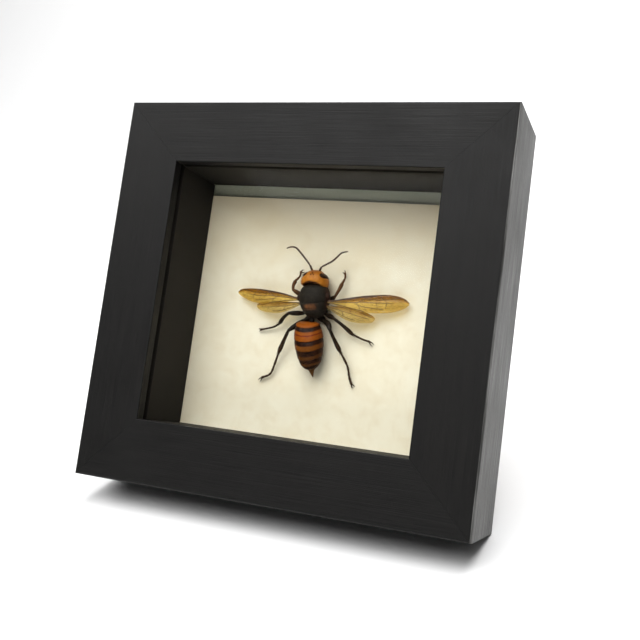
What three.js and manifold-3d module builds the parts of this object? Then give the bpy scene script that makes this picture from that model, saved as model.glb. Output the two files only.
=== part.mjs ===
// A giant hornet specimen, spread on a card inside a black shadow-box frame that leans back on a strut.
// Millimetres, +Z up, the glass faces -Y. The origin is on the floor, under the middle of the whole object.
import * as THREE from 'three';
import { mergeVertices } from 'three/addons/utils/BufferGeometryUtils.js';
import Module from 'manifold-3d';

const wasm = await Module();
wasm.setup();

// Shadow-box frame
const FRAME_WIDTH = 150;
const FRAME_HEIGHT = 144;
const FRAME_DEPTH = 36;
const LEAN_DEG = 20.5;
const RAIL_FACE = 23.3;
const LIP_DEPTH = 4;
const REBATE = 7;
const RAIL_EDGE_CUT = 0.7;
const REST_CUT = 1;
const FIT_GAP = 0.3;
const GLASS_THICKNESS = 2;
const CARD_FACE = 32;
const CARD_THICKNESS = 1;
const CARD_TOP_GAP = 4.6;
const BOARD_THICKNESS = 2.2;

// Strut behind the frame
const STRUT_WIDTH_TOP = 34;
const STRUT_WIDTH_FOOT = 52;
const STRUT_THICKNESS = 4;
const STRUT_JOINT_HEIGHT = 30;
const STRUT_JOINT_DROP = 8;
const STRUT_REACH = 55;

// Hornet, in x to the right, y up the card and z off the card
const HEAD = { x: 0.45, y: 11.85, z: 6.1, halfWidth: 5.43, halfLength: 3.35, halfHeight: 4.7 };
const HEAD_YAW_DEG = -1;
const THORAX = { x: 1.2, y: 3.5, z: 6.2, yawDeg: 7 };
const GASTER = { x: -0.55, y: -4.55, z: 5.9, yawDeg: 11.2, droop: 1.6 };
const BODY_SIDES = 24;
const WING_THICKNESS = 0.5;
const VEIN_RISE = 0.17;
const MIN_RADIUS = 0.26;
const WELD_DISTANCE = 1e-4;

const lean = THREE.MathUtils.degToRad(LEAN_DEG);
const centreHeight = Math.cos(lean) * FRAME_HEIGHT / 2 + Math.sin(lean) * FRAME_DEPTH - REST_CUT;

// Solids and meshes

function welded(geometry) {
  const bare = new THREE.BufferGeometry();
  bare.setAttribute('position', geometry.attributes.position);
  if (geometry.index) {
    bare.setIndex(geometry.index);
  }
  return mergeVertices(bare, WELD_DISTANCE);
}

function solidOf(geometry) {
  const merged = welded(geometry);
  return new wasm.Manifold(new wasm.Mesh({
    numProp: 3,
    vertProperties: new Float32Array(merged.attributes.position.array),
    triVerts: new Uint32Array(merged.index.array),
  }));
}

function geometryOf(solid) {
  const mesh = solid.getMesh();
  const geometry = new THREE.BufferGeometry();
  geometry.setAttribute('position', new THREE.BufferAttribute(new Float32Array(mesh.vertProperties), 3));
  geometry.setIndex(new THREE.BufferAttribute(new Uint32Array(mesh.triVerts), 1));
  return geometry;
}

function largest(solid) {
  const pieces = solid.decompose();
  return pieces.reduce((best, piece) => (piece.volume() > best.volume() ? piece : best));
}

function unite(geometries) {
  return geometries.map(solidOf).reduce((sum, piece) => sum.add(piece));
}

function clear(solid, ...cutters) {
  return largest(cutters.reduce((rest, cutter) => rest.subtract(cutter), solid));
}

function material(color, roughness, metalness = 0) {
  return new THREE.MeshStandardMaterial({ color, roughness, metalness });
}

const finish = {
  blackWood: material(0x24211f, 0.55),
  darkSpacer: material(0x231e1b, 0.7),
  glass: new THREE.MeshStandardMaterial({
    color: 0xf2f6f4,
    roughness: 0.05,
    transparent: true,
    opacity: 0.15,
  }),
  card: material(0xefe4c8, 0.85),
  greyBoard: material(0x8c8e7d, 0.85),
  strut: material(0x1f1d1c, 0.6),
  glue: material(0xd9cfb4, 0.4),
  headOrange: material(0xd07f24, 0.4),
  thoraxBrown: material(0x2e2a29, 0.6),
  gasterOrange: material(0xb8651d, 0.35),
  eyeBrown: material(0x2a1a12, 0.25),
  legBrown: material(0x2b1b12, 0.45),
  antennaBrown: material(0x4a2c18, 0.5),
  mandibleBrown: material(0x3a1f10, 0.35),
  wingAmber: new THREE.MeshStandardMaterial({
    color: 0xb98a3a,
    roughness: 0.3,
    transparent: true,
    opacity: 0.75,
  }),
};

function meshOf(name, geometry, look) {
  const mesh = new THREE.Mesh(geometry, look);
  mesh.name = name;
  return mesh;
}

function turned(geometry, place, yawDeg) {
  geometry.rotateZ(THREE.MathUtils.degToRad(yawDeg));
  geometry.translate(place.x, place.y, place.z);
  return geometry;
}

// A sphere's grid, each point moved to shape(u, v): u goes round and v from pole to pole
function mappedSphere(sides, rings, shape) {
  const geometry = new THREE.SphereGeometry(1, sides, rings);
  const position = geometry.attributes.position;
  for (let ring = 0; ring <= rings; ring += 1) {
    for (let side = 0; side <= sides; side += 1) {
      const point = shape((side % sides) / sides, ring / rings);
      position.setXYZ(ring * (sides + 1) + side, point.x, point.y, point.z);
    }
  }
  return geometry;
}

function ellipsoid(radii, place, sides = 14, rings = 9, tilt = [0, 0, 0]) {
  const geometry = new THREE.SphereGeometry(1, sides, rings);
  geometry.scale(...radii);
  geometry.rotateX(tilt[0]);
  geometry.rotateY(tilt[1]);
  geometry.rotateZ(tilt[2]);
  geometry.translate(...place);
  return geometry;
}

function curveThrough(points) {
  return new THREE.CatmullRomCurve3(points.map((p) => new THREE.Vector3(...p)), false, 'centripetal');
}

// A body along Y from stations [y, half width, rise, drop, centre height]; the first and last are points
function bodyLoft(stations, power, grow) {
  const last = stations.length - 1;
  const section = (value) => Math.sign(value) * Math.abs(value) ** (2 / power);
  return mappedSphere(BODY_SIDES, last, (u, v) => {
    const index = Math.round(v * last);
    const [y, half, rise, drop, centre] = stations[index];
    const tip = index === 0 || index === last;
    const end = index === 0 ? -Math.sign(stations[last][0] - y) * grow : Math.sign(y - stations[0][0]) * grow;
    if (tip) {
      return new THREE.Vector3(0, y + end, centre);
    }
    const angle = 2 * Math.PI * u;
    const height = Math.sin(angle) > 0 ? rise : drop;
    return new THREE.Vector3(
      -section(Math.cos(angle)) * (half + grow),
      y,
      centre + section(Math.sin(angle)) * (height + grow),
    );
  });
}

// A round limb through points, its radius read from [share of length, radius] pairs, with domed ends
const END_DOME = 0.7;

function limb(points, radii, sides, rings) {
  const curve = curveThrough(points);
  const frames = curve.computeFrenetFrames(rings - 2, false);
  const radiusAt = (share) => {
    const next = radii.findIndex(([at]) => at >= share - 1e-9);
    if (next === 0) {
      return radii[0][1];
    }
    const [from, low] = radii[next - 1];
    const [to, high] = radii[next];
    return low + (high - low) * (share - from) / (to - from);
  };
  return mappedSphere(sides, rings, (u, v) => {
    const ring = Math.round(v * rings);
    const station = Math.min(Math.max(ring - 1, 0), rings - 2);
    const share = station / (rings - 2);
    const centre = curve.getPointAt(share);
    const radius = radiusAt(share);
    if (ring === 0) {
      return centre.addScaledVector(frames.tangents[0], -END_DOME * radius);
    }
    if (ring === rings) {
      return centre.addScaledVector(frames.tangents[station], END_DOME * radius);
    }
    const angle = -2 * Math.PI * u;
    return centre
      .addScaledVector(frames.normals[station], Math.cos(angle) * radius)
      .addScaledVector(frames.binormals[station], Math.sin(angle) * radius);
  });
}

// Frame, glass, spacers, card and board, with the frame's face at z = 0 and its middle at the origin

// A mitred length of moulding along the top, from its section in (inward, back) from the outer front edge
function mitredRail(section, outerLength, outerOffset) {
  const shape = new THREE.Shape(section.map(([inward, back]) => new THREE.Vector2(inward, back)));
  const geometry = new THREE.ExtrudeGeometry(shape, { depth: 1, bevelEnabled: false });
  const position = geometry.attributes.position;
  const mitreGap = FIT_GAP / Math.SQRT2;
  for (let index = 0; index < position.count; index += 1) {
    const inward = position.getX(index);
    const back = position.getY(index);
    const end = position.getZ(index) > 0.5 ? 1 : -1;
    position.setXYZ(index, end * (outerLength / 2 - inward - mitreGap), outerOffset - inward, -back);
  }
  return geometry;
}

const lipSection = [
  [0, RAIL_EDGE_CUT],
  [RAIL_EDGE_CUT, 0],
  [RAIL_FACE - RAIL_EDGE_CUT / 2, 0],
  [RAIL_FACE, RAIL_EDGE_CUT / 2],
  [RAIL_FACE, LIP_DEPTH],
  [RAIL_FACE - REBATE, LIP_DEPTH],
  [RAIL_FACE - REBATE, FRAME_DEPTH],
  [0, FRAME_DEPTH],
];

const glassFront = LIP_DEPTH + FIT_GAP;
const spacerFront = glassFront + GLASS_THICKNESS + FIT_GAP;
const spacerSection = [
  [RAIL_FACE - REBATE + FIT_GAP, spacerFront],
  [RAIL_FACE, spacerFront],
  [RAIL_FACE, CARD_FACE - FIT_GAP],
  [RAIL_FACE - REBATE + FIT_GAP, CARD_FACE - FIT_GAP],
];

const sides = [
  { name: 'top', turn: 0, length: FRAME_WIDTH, offset: FRAME_HEIGHT / 2 },
  { name: 'left', turn: 90, length: FRAME_HEIGHT, offset: FRAME_WIDTH / 2 },
  { name: 'bottom', turn: 180, length: FRAME_WIDTH, offset: FRAME_HEIGHT / 2 },
  { name: 'right', turn: 270, length: FRAME_HEIGHT, offset: FRAME_WIDTH / 2 },
];

// All that lies lower than the rest plane, as the leaning frame sees it
function belowFloor() {
  const block = new THREE.BoxGeometry(3 * FRAME_WIDTH, 3 * FRAME_DEPTH, FRAME_DEPTH);
  block.translate(0, 0, -FRAME_DEPTH / 2 - centreHeight);
  block.rotateX(lean - Math.PI / 2);
  return solidOf(block);
}

function sideMeshes(prefix, section, look, cutter) {
  return sides.map((side) => {
    const geometry = mitredRail(section, side.length, side.offset);
    geometry.rotateZ(THREE.MathUtils.degToRad(side.turn));
    const solid = cutter ? solidOf(geometry).subtract(cutter) : solidOf(geometry);
    return meshOf(prefix + side.name, geometryOf(solid), look);
  });
}

function slab(name, width, height, thickness, front, look, offsetY = 0) {
  const geometry = new THREE.BoxGeometry(width, height, thickness);
  geometry.translate(0, offsetY, -front - thickness / 2);
  return meshOf(name, geometry, look);
}

const rebateWidth = FRAME_WIDTH - 2 * (RAIL_FACE - REBATE) - 2 * FIT_GAP;
const rebateHeight = FRAME_HEIGHT - 2 * (RAIL_FACE - REBATE) - 2 * FIT_GAP;
const cardCut = REBATE + CARD_TOP_GAP - FIT_GAP;
const boardFront = CARD_FACE + CARD_THICKNESS + FIT_GAP;

const shadowBox = new THREE.Group();
shadowBox.add(...sideMeshes('frame_', lipSection, finish.blackWood, belowFloor()));
shadowBox.add(...sideMeshes('spacer_', spacerSection, finish.darkSpacer));
shadowBox.add(slab('glass_pane', rebateWidth, rebateHeight, GLASS_THICKNESS, glassFront, finish.glass));
const cardHeight = rebateHeight - cardCut;
shadowBox.add(slab('card', rebateWidth, cardHeight, CARD_THICKNESS, CARD_FACE, finish.card, -cardCut / 2));
const boardSize = [rebateWidth, rebateHeight, BOARD_THICKNESS];
shadowBox.add(slab('backing_board', ...boardSize, boardFront, finish.greyBoard));

// Hornet head

const HEAD_POWER = 2.5;
const HEAD_RINGS = 14;
const NAPE_HOLLOW = 1.5;
const JAW_TAPER = 0.3;
const CROWN_TAPER = 0.1;
const BROW_TAPER = 0.245;
const TEMPLE_FLARE = 0.15;
const TEMPLE_REACH = 0.35;
const WIDEST_BACK = 0.25;

// Moves a point of the unit head: rounded in front, widest behind its middle, hollow at the nape
function headPoint(x, y, z) {
  const height = z < 0 ? 1 - JAW_TAPER * (-z) ** 1.4 : 1 - CROWN_TAPER * z ** 3;
  const length = y < 0 ? 1 + TEMPLE_FLARE * y * y : 1 - BROW_TAPER * y ** 1.3;
  const across = x * height * length;
  const reached = y < 0 ? y * (1 + TEMPLE_REACH * (1 + y)) : y;
  const along = reached - WIDEST_BACK * (1 - reached * reached);
  const hollow = y < 0 ? -NAPE_HOLLOW * y * Math.max(0, 1 - 1.5 * across * across) : 0;
  return [across, along, z, hollow];
}

function headShell(grow) {
  const geometry = new THREE.SphereGeometry(1, BODY_SIDES, HEAD_RINGS);
  geometry.rotateX(Math.PI / 2);
  const position = geometry.attributes.position;
  for (let index = 0; index < position.count; index += 1) {
    const unit = new THREE.Vector3().fromBufferAttribute(position, index);
    const sum = unit.toArray().reduce((total, value) => total + Math.abs(value) ** HEAD_POWER, 0);
    unit.multiplyScalar(sum ** (-1 / HEAD_POWER));
    const [across, along, up, hollow] = headPoint(unit.x, unit.y, unit.z);
    position.setXYZ(
      index,
      across * (HEAD.halfWidth + grow),
      along * (HEAD.halfLength + grow) + hollow,
      up * (HEAD.halfHeight + grow),
    );
  }
  return geometry;
}

function onHead(geometry) {
  return turned(geometry, HEAD, HEAD_YAW_DEG);
}

// Compound eyes: tall ovals let into the front corners of the head
const EYE = { x: 3.15, y: 0.92, z: 0.32, long: 1.95, deep: 1.35, tall: 3.4, turn: 0.58 };

function eyeSolid(side, grow) {
  const radii = [EYE.long + grow, EYE.deep + grow, EYE.tall + grow];
  return solidOf(onHead(ellipsoid(radii, [side * EYE.x, EYE.y, EYE.z], 18, 12, [0, 0, -side * EYE.turn])));
}

const CLYPEUS_RADII = [2.5, 1.0, 2.2];
const CLYPEUS_PLACE = [0, 2.3, -2.3];
const OCELLUS_RADII = [0.34, 0.34, 0.3];
const OCELLUS_HEIGHT = 4.5;

const clypeus = ellipsoid(CLYPEUS_RADII, CLYPEUS_PLACE);
const ocelli = [[0, 1.35], [-0.7, 0.65], [0.7, 0.65]].map(
  ([x, y]) => ellipsoid(OCELLUS_RADII, [x, y, OCELLUS_HEIGHT], 8, 6),
);
const eyesGrown = [eyeSolid(-1, FIT_GAP), eyeSolid(1, FIT_GAP)];
const headWhole = largest(unite([headShell(0), clypeus, ...ocelli].map(onHead)));
const headSolid = largest(clear(headWhole, ...eyesGrown));
const clypeusGrown = ellipsoid(CLYPEUS_RADII.map((radius) => radius + FIT_GAP), CLYPEUS_PLACE);
const headFull = unite([headShell(FIT_GAP), clypeusGrown].map(onHead));

function mandibleSolid(side) {
  const path = [
    [side * 2.3, 1.2, -3.3],
    [side * 2.35, 1.9, -4.2],
    [side * 1.4, 2.6, -4.9],
    [side * 0.4, 2.9, -5.2],
  ];
  const blade = limb(path, [[0, 0.75], [0.6, 0.6], [1, 0.28]], 8, 9);
  return clear(solidOf(onHead(blade)), headFull, ...eyesGrown);
}

// Thorax, with the collar, shield, scutellum and sloping rear in its outline

const thoraxStations = [
  [6.8, 0, 0, 0, -0.6],
  [6.5, 2.6, 1.5, 1.7, -0.6],
  [5.8, 4.2, 2.9, 3.0, -0.3],
  [4.8, 5.1, 3.75, 3.9, 0],
  [3.2, 5.75, 4.3, 4.3, 0],
  [1.4, 6.0, 4.55, 4.5, 0],
  [-0.2, 5.9, 4.45, 4.5, 0],
  [-1.2, 5.6, 4.05, 4.4, 0],
  [-1.6, 5.4, 3.7, 4.3, 0],
  [-2.2, 5.2, 4.0, 4.2, 0],
  [-3.1, 4.75, 3.75, 4.0, 0],
  [-3.6, 4.45, 3.2, 3.8, 0],
  [-4.2, 4.15, 3.1, 3.5, 0],
  [-4.8, 3.7, 2.5, 3.2, -0.1],
  [-5.6, 2.9, 1.7, 2.5, -0.3],
  [-6.2, 1.9, 1.0, 1.6, -0.6],
  [-6.5, 0, 0, 0, -0.8],
];

const TEGULA_RADII = [1.0, 1.35, 0.85];
const TEGULA = { x: 5.5, y: 1.3, z: 1.7 };

function thoraxShell(grow) {
  return turned(bodyLoft(thoraxStations, 2.3, grow), THORAX, THORAX.yawDeg);
}

// Tegula: the small shield over the root of each forewing
function tegula(side, grow) {
  const radii = TEGULA_RADII.map((radius) => radius + grow);
  const cap = ellipsoid(radii, [side * TEGULA.x, TEGULA.y, TEGULA.z], 12, 8);
  return turned(cap, THORAX, THORAX.yawDeg);
}

const thoraxSolid = clear(unite([thoraxShell(0), tegula(-1, 0), tegula(1, 0)]), headFull);
const thoraxGrown = unite([thoraxShell(FIT_GAP), tegula(-1, FIT_GAP), tegula(1, FIT_GAP)]);

// Gaster, whose hind edges of the tergites step down to the next ring

const gasterRings = [
  [0, 0],
  [0.15, 2.1],
  [0.7, 3.85],
  [1.8, 4.7],
  [1.9, 4.52],
  [4.0, 5.25],
  [6.9, 5.62],
  [7.0, 5.42],
  [8.8, 5.66],
  [10.6, 5.5],
  [10.7, 5.3],
  [12.3, 5.1],
  [13.85, 4.7],
  [13.95, 4.5],
  [15.0, 4.2],
  [16.1, 3.75],
  [16.2, 3.55],
  [17.2, 2.7],
  [17.9, 1.4],
  [18.8, 0.9],
  [19.7, 0.52],
  [20.4, 0.3],
  [21.0, 0],
];
const GASTER_FLATNESS = 0.83;
const RING_LEAN = 0.31;
const RING_SKEW = [-0.16, 0.04];
const RING_BOW = 0.03;
const TIP_BEND = 0.4;
const TIP_START = 0.76;
const gasterLength = gasterRings[gasterRings.length - 1][0];

function gasterShell(grow) {
  const stations = gasterRings.map(([along, half]) => {
    const height = half * GASTER_FLATNESS;
    return [-along, half, height, height, -GASTER.droop * (along / gasterLength) ** 2];
  });
  const geometry = bodyLoft(stations, 2.1, grow);
  const position = geometry.attributes.position;
  for (let index = 0; index < position.count; index += 1) {
    const point = new THREE.Vector3().fromBufferAttribute(position, index);
    const share = -point.y / gasterLength;
    const height = point.z + GASTER.droop * share * share;
    const bend = TIP_BEND * Math.max(0, (share - TIP_START) / (1 - TIP_START)) ** 2;
    const skew = THREE.MathUtils.lerp(...RING_SKEW, share);
    const shift = skew * point.x - RING_LEAN * height + RING_BOW * point.x * point.x;
    const fade = Math.min(1, Math.hypot(point.x, height) / 2);
    position.setXYZ(index, point.x + bend, point.y + fade * shift, point.z);
  }
  return turned(geometry, GASTER, GASTER.yawDeg);
}

const gasterSolid = clear(solidOf(gasterShell(0)), thoraxGrown);
const gasterGrown = solidOf(gasterShell(FIT_GAP));

function petioleSolid() {
  const neck = ellipsoid([1.0, 2.0, 0.95], [0.75, -3.7, 5.3], 12, 8);
  return clear(solidOf(neck), thoraxGrown, gasterGrown);
}

// Antennae: a straight scape, then a flagellum in one sweep

const antennaPaths = {
  L: [[-0.55, 14.2, 6.3], [-1.5, 15.6, 7.0], [-1.9, 16.6, 7.6], [-4.4, 19.5, 8.5], [-6.8, 21.8, 8.5],
    [-8.8, 23.2, 8.0], [-11.1, 23.4, 7.5], [-12.8, 22.9, 7.0]],
  R: [[1.25, 14.2, 6.3], [2.0, 15.4, 7.0], [2.6, 16.3, 7.6], [4.5, 17.3, 8.3], [6.8, 18.6, 8.5],
    [8.6, 20.3, 8.5], [10.1, 22.2, 8.0], [12.1, 23.1, 7.0]],
};

function antennaSolid(name) {
  const radii = [[0, 0.38], [0.18, 0.42], [0.2, 0.3], [0.26, 0.34], [0.6, 0.37], [0.9, 0.3], [1, 0.22]];
  return clear(solidOf(limb(antennaPaths[name], radii, 7, 32)), headFull, ...eyesGrown);
}

// Legs: each is coxa, femur, tibia and tarsus joined at the knees, with a pair of claws

const legs = {
  fore_L: {
    coxa: [[-1.6, 6.6, 2.9], [-4.6, 5.2, 3.2]],
    femur: [[-4.6, 5.2, 3.2], [-8.8, 7.4, 5.0]],
    tibia: [[-8.8, 7.4, 5.0], [-9.2, 9.2, 4.2], [-8.9, 11.2, 3.4]],
    tarsus: [[-8.9, 11.2, 3.4], [-7.9, 13.3, 2.2], [-8.1, 15.1, 1.4]],
    claw: [-6.9, 15.6, 0.9],
    size: 1,
  },
  fore_R: {
    coxa: [[3.4, 6.2, 2.9], [6.0, 4.6, 3.2]],
    femur: [[6.0, 4.6, 3.2], [8.6, 6.0, 5.0]],
    tibia: [[8.6, 6.0, 5.0], [9.6, 8.8, 4.3], [10.3, 11.6, 3.4]],
    tarsus: [[10.3, 11.6, 3.4], [10.7, 14.0, 2.4], [10.2, 15.7, 1.8]],
    claw: [9.2, 16.6, 1.0],
    size: 1,
  },
  mid_L: {
    coxa: [[-1.4, 1.6, 2.1], [-4.4, -1.0, 2.6]],
    femur: [[-4.4, -1.0, 2.6], [-9.1, -1.8, 5.4]],
    tibia: [[-9.1, -1.8, 5.4], [-11.4, -3.6, 4.4], [-13.3, -5.7, 3.0]],
    tarsus: [[-13.3, -5.7, 3.0], [-15.7, -7.1, 2.0], [-19.0, -8.1, 1.5], [-21.6, -8.7, 1.2]],
    claw: [-22.7, -9.0, 0.8],
    size: 1.05,
  },
  mid_R: {
    coxa: [[3.1, 1.6, 2.1], [5.6, -0.7, 2.6]],
    femur: [[5.6, -0.7, 2.6], [9.4, -2.2, 5.4]],
    tibia: [[9.4, -2.2, 5.4], [13.2, -4.6, 4.4], [16.8, -7.3, 3.0]],
    tarsus: [[16.8, -7.3, 3.0], [20.7, -8.7, 2.0], [23.1, -9.2, 1.5]],
    claw: [24.6, -10.5, 0.8],
    size: 1.05,
  },
  hind_L: {
    coxa: [[-0.6, -1.7, 2.1], [-3.4, -3.7, 2.4]],
    femur: [[-3.4, -3.7, 2.4], [-5.9, -5.9, 3.6], [-8.0, -8.4, 5.8]],
    tibia: [[-8.0, -8.4, 5.8], [-9.9, -12.4, 4.6], [-11.9, -16.8, 3.2]],
    tarsus: [[-11.9, -16.8, 3.2], [-13.5, -21.6, 2.0], [-15.0, -25.4, 1.5], [-18.4, -27.2, 1.2]],
    claw: [-19.6, -28.6, 0.8],
    size: 1.15,
  },
  hind_R: {
    coxa: [[2.6, -1.8, 2.1], [4.9, -3.4, 2.5]],
    femur: [[4.9, -3.4, 2.5], [7.3, -4.6, 4.6], [8.9, -6.9, 6.2]],
    tibia: [[8.9, -6.9, 6.2], [10.9, -10.6, 4.9], [12.8, -14.1, 3.2]],
    tarsus: [[12.8, -14.1, 3.2], [16.1, -19.4, 2.0], [17.2, -23.5, 1.4], [18.2, -25.6, 1.2]],
    claw: [19.1, -26.8, 0.8],
    size: 1.15,
  },
};

function legSolid(leg) {
  const scaled = (radii) => radii.map(([at, radius]) => [at, Math.max(radius * leg.size, MIN_RADIUS)]);
  const foot = leg.tarsus[leg.tarsus.length - 1];
  const stride = new THREE.Vector3(...leg.claw).sub(new THREE.Vector3(...foot));
  const across = new THREE.Vector3(-stride.y, stride.x, 0).setLength(0.45);
  const claws = [-1, 1].map((side) => limb(
    [foot, [leg.claw[0] + side * across.x, leg.claw[1] + side * across.y, leg.claw[2]]],
    [[0, 0.24], [1, 0.12]],
    6,
    4,
  ));
  return unite([
    limb(leg.coxa, scaled([[0, 1.1], [0.7, 0.95], [1, 0.7]]), 7, 5),
    limb(leg.femur, scaled([[0, 0.75], [0.3, 0.95], [0.75, 0.82], [1, 0.56]]), 7, 7),
    limb(leg.tibia, scaled([[0, 0.48], [0.3, 0.58], [0.8, 0.74], [1, 0.5]]), 7, 7),
    limb(leg.tarsus, scaled([[0, 0.36], [0.5, 0.31], [1, 0.3]]), 6, 10),
    ...claws,
  ]);
}

// Wings: a thin sheet between a leading and a trailing edge, with its veins raised on both faces

const forewingVeins = [
  { path: [[0.0, 0.1], [0.3, 0.06], [0.62, 0.04]], rise: 2.2 },
  { path: [[0.62, 0.04], [0.8, 0.06], [0.95, 0.14]], rise: 1 },
  { path: [[0.02, 0.45], [0.2, 0.42], [0.38, 0.42]], rise: 1.4 },
  { path: [[0.02, 0.78], [0.25, 0.84], [0.46, 0.92]], rise: 1.2 },
  { path: [[0.38, 0.42], [0.46, 0.2], [0.53, 0.06]], rise: 1.2 },
  { path: [[0.36, 0.42], [0.4, 0.66], [0.42, 0.88]], rise: 1 },
  { path: [[0.4, 0.62], [0.55, 0.72], [0.68, 0.8]], rise: 1 },
  { path: [[0.4, 0.36], [0.6, 0.44], [0.8, 0.5]], rise: 1 },
  { path: [[0.47, 0.2], [0.64, 0.28], [0.76, 0.26], [0.88, 0.1]], rise: 1 },
  { path: [[0.6, 0.44], [0.62, 0.76]], rise: 0.9 },
  { path: [[0.72, 0.48], [0.71, 0.78]], rise: 0.9 },
  { path: [[0.61, 0.27], [0.6, 0.44]], rise: 0.9 },
  { path: [[0.7, 0.28], [0.72, 0.48]], rise: 0.9 },
  { path: [[0.65, 0.05], [0.68, 0.28]], rise: 1 },
];
const hindwingVeins = [
  { path: [[0.0, 0.14], [0.3, 0.1], [0.55, 0.08], [0.9, 0.3]], rise: 1.6 },
  { path: [[0.02, 0.45], [0.5, 0.42], [0.86, 0.55]], rise: 1 },
  { path: [[0.02, 0.75], [0.3, 0.78], [0.6, 0.84]], rise: 1 },
  { path: [[0.5, 0.42], [0.48, 0.09]], rise: 0.9 },
  { path: [[0.34, 0.43], [0.38, 0.79]], rise: 0.9 },
];

const wings = {
  forewing_L: {
    lead: [[-3.8, 3.9, 7.6], [-6.3, 4.3, 7.5], [-11.1, 5.4, 7.2], [-20.8, 6.5, 5.8], [-28.4, 6.6, 4.0],
      [-31.6, 6.1, 3.2], [-32.9, 5.2, 2.8]],
    trail: [[-3.8, 3.1, 7.5], [-6.3, 2.9, 7.4], [-14.8, 1.5, 6.4], [-23.1, 1.1, 5.0], [-28.4, 2.4, 3.8],
      [-31.4, 3.6, 3.0], [-32.8, 4.6, 2.7]],
    veins: forewingVeins,
    across: 5,
    along: 12,
  },
  forewing_R: {
    lead: [[6.2, 3.8, 7.6], [8.8, 4.2, 7.5], [15.1, 5.8, 7.0], [21.8, 7.3, 6.0], [30.3, 8.4, 4.2],
      [35.2, 7.6, 3.1], [37.0, 6.2, 2.7]],
    trail: [[6.2, 3.0, 7.5], [8.8, 2.8, 7.4], [15.6, 1.5, 6.7], [22.8, 0.9, 5.4], [31.6, 2.2, 3.7],
      [35.8, 4.2, 2.9], [37.0, 5.5, 2.6]],
    veins: forewingVeins,
    across: 5,
    along: 12,
  },
  hindwing_L: {
    lead: [[-3.8, 2.6, 6.6], [-11.0, 2.4, 6.0], [-17.5, 2.1, 5.1], [-22.4, 1.4, 3.9], [-23.6, 0.6, 3.6]],
    trail: [[-3.8, 1.8, 6.5], [-12.1, -1.8, 5.5], [-19.8, -1.9, 4.1], [-22.9, -0.9, 3.6], [-23.7, 0.0, 3.5]],
    veins: hindwingVeins,
    across: 4,
    along: 8,
  },
  hindwing_R: {
    lead: [[6.2, 2.3, 6.6], [13.0, 2.4, 6.1], [19.5, 1.7, 4.9], [23.9, 0.2, 3.8], [24.9, -0.7, 3.6]],
    trail: [[6.2, 1.5, 6.5], [15.0, -2.6, 5.6], [21.4, -2.9, 4.2], [24.1, -2.2, 3.7], [24.9, -1.3, 3.5]],
    veins: hindwingVeins,
    across: 4,
    along: 8,
  },
};

function wingSurface(wing) {
  const lead = curveThrough(wing.lead);
  const trail = curveThrough(wing.trail);
  return (s, t) => lead.getPointAt(s).lerp(trail.getPointAt(s), t);
}

// A closed sheet over a grid, with the same triangles on both faces
function sheet(surface, along, across, thickness) {
  const points = [];
  for (const face of [1, -1]) {
    for (let i = 0; i <= along; i += 1) {
      for (let j = 0; j <= across; j += 1) {
        const point = surface(i / along, j / across);
        points.push(point.x, point.y, point.z + face * thickness / 2);
      }
    }
  }
  const row = across + 1;
  const back = (along + 1) * row;
  const faces = [];
  for (let i = 0; i < along; i += 1) {
    for (let j = 0; j < across; j += 1) {
      const corner = [i * row + j, (i + 1) * row + j, (i + 1) * row + j + 1, i * row + j + 1];
      faces.push([corner[0], corner[1], corner[2]], [corner[0], corner[2], corner[3]]);
    }
  }
  const index = [];
  for (const [a, b, c] of faces) {
    index.push(a, b, c, a + back, c + back, b + back);
  }
  const rim = [];
  for (let i = 0; i < along; i += 1) {
    rim.push([i * row, (i + 1) * row]);
  }
  for (let j = 0; j < across; j += 1) {
    rim.push([along * row + j, along * row + j + 1]);
  }
  for (let i = along; i > 0; i -= 1) {
    rim.push([i * row + across, (i - 1) * row + across]);
  }
  for (let j = across; j > 0; j -= 1) {
    rim.push([j, j - 1]);
  }
  for (const [a, b] of rim) {
    index.push(a, a + back, b + back, a, b + back, b);
  }
  const geometry = new THREE.BufferGeometry();
  geometry.setAttribute('position', new THREE.Float32BufferAttribute(points, 3));
  geometry.setIndex(index);
  return geometry;
}

// Solid of a closed mesh whose faces may all look inwards
function outward(geometry) {
  const solid = solidOf(geometry);
  if (solid.volume() > 0) {
    return solid;
  }
  const flipped = welded(geometry);
  const index = Array.from(flipped.index.array);
  for (let at = 0; at < index.length; at += 3) {
    [index[at], index[at + 1]] = [index[at + 1], index[at]];
  }
  flipped.setIndex(index);
  return solidOf(flipped);
}

function wingSolid(wing) {
  const surface = wingSurface(wing);
  const membrane = outward(sheet(surface, wing.along, wing.across, WING_THICKNESS));
  const ridges = wing.veins.map((vein) => {
    const points = vein.path.map(([s, t]) => surface(s, t).toArray());
    const radius = WING_THICKNESS / 2 + VEIN_RISE * vein.rise;
    return solidOf(limb(points, [[0, radius], [1, radius * 0.85]], 4, points.length + 2));
  });
  return ridges.reduce((sum, ridge) => sum.add(ridge), membrane);
}

// Assembly of the hornet on the card

// Dab of glue between the card and the thorax
const PAD = { x: 1.0, y: 3.4, topRadius: 1.3, footRadius: 1.7, height: 3, sides: 14 };

function padSolid() {
  const dab = new THREE.CylinderGeometry(PAD.topRadius, PAD.footRadius, PAD.height, PAD.sides);
  dab.rotateX(Math.PI / 2);
  dab.translate(PAD.x, PAD.y, PAD.height / 2 + FIT_GAP);
  return clear(solidOf(dab), thoraxGrown);
}

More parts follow.
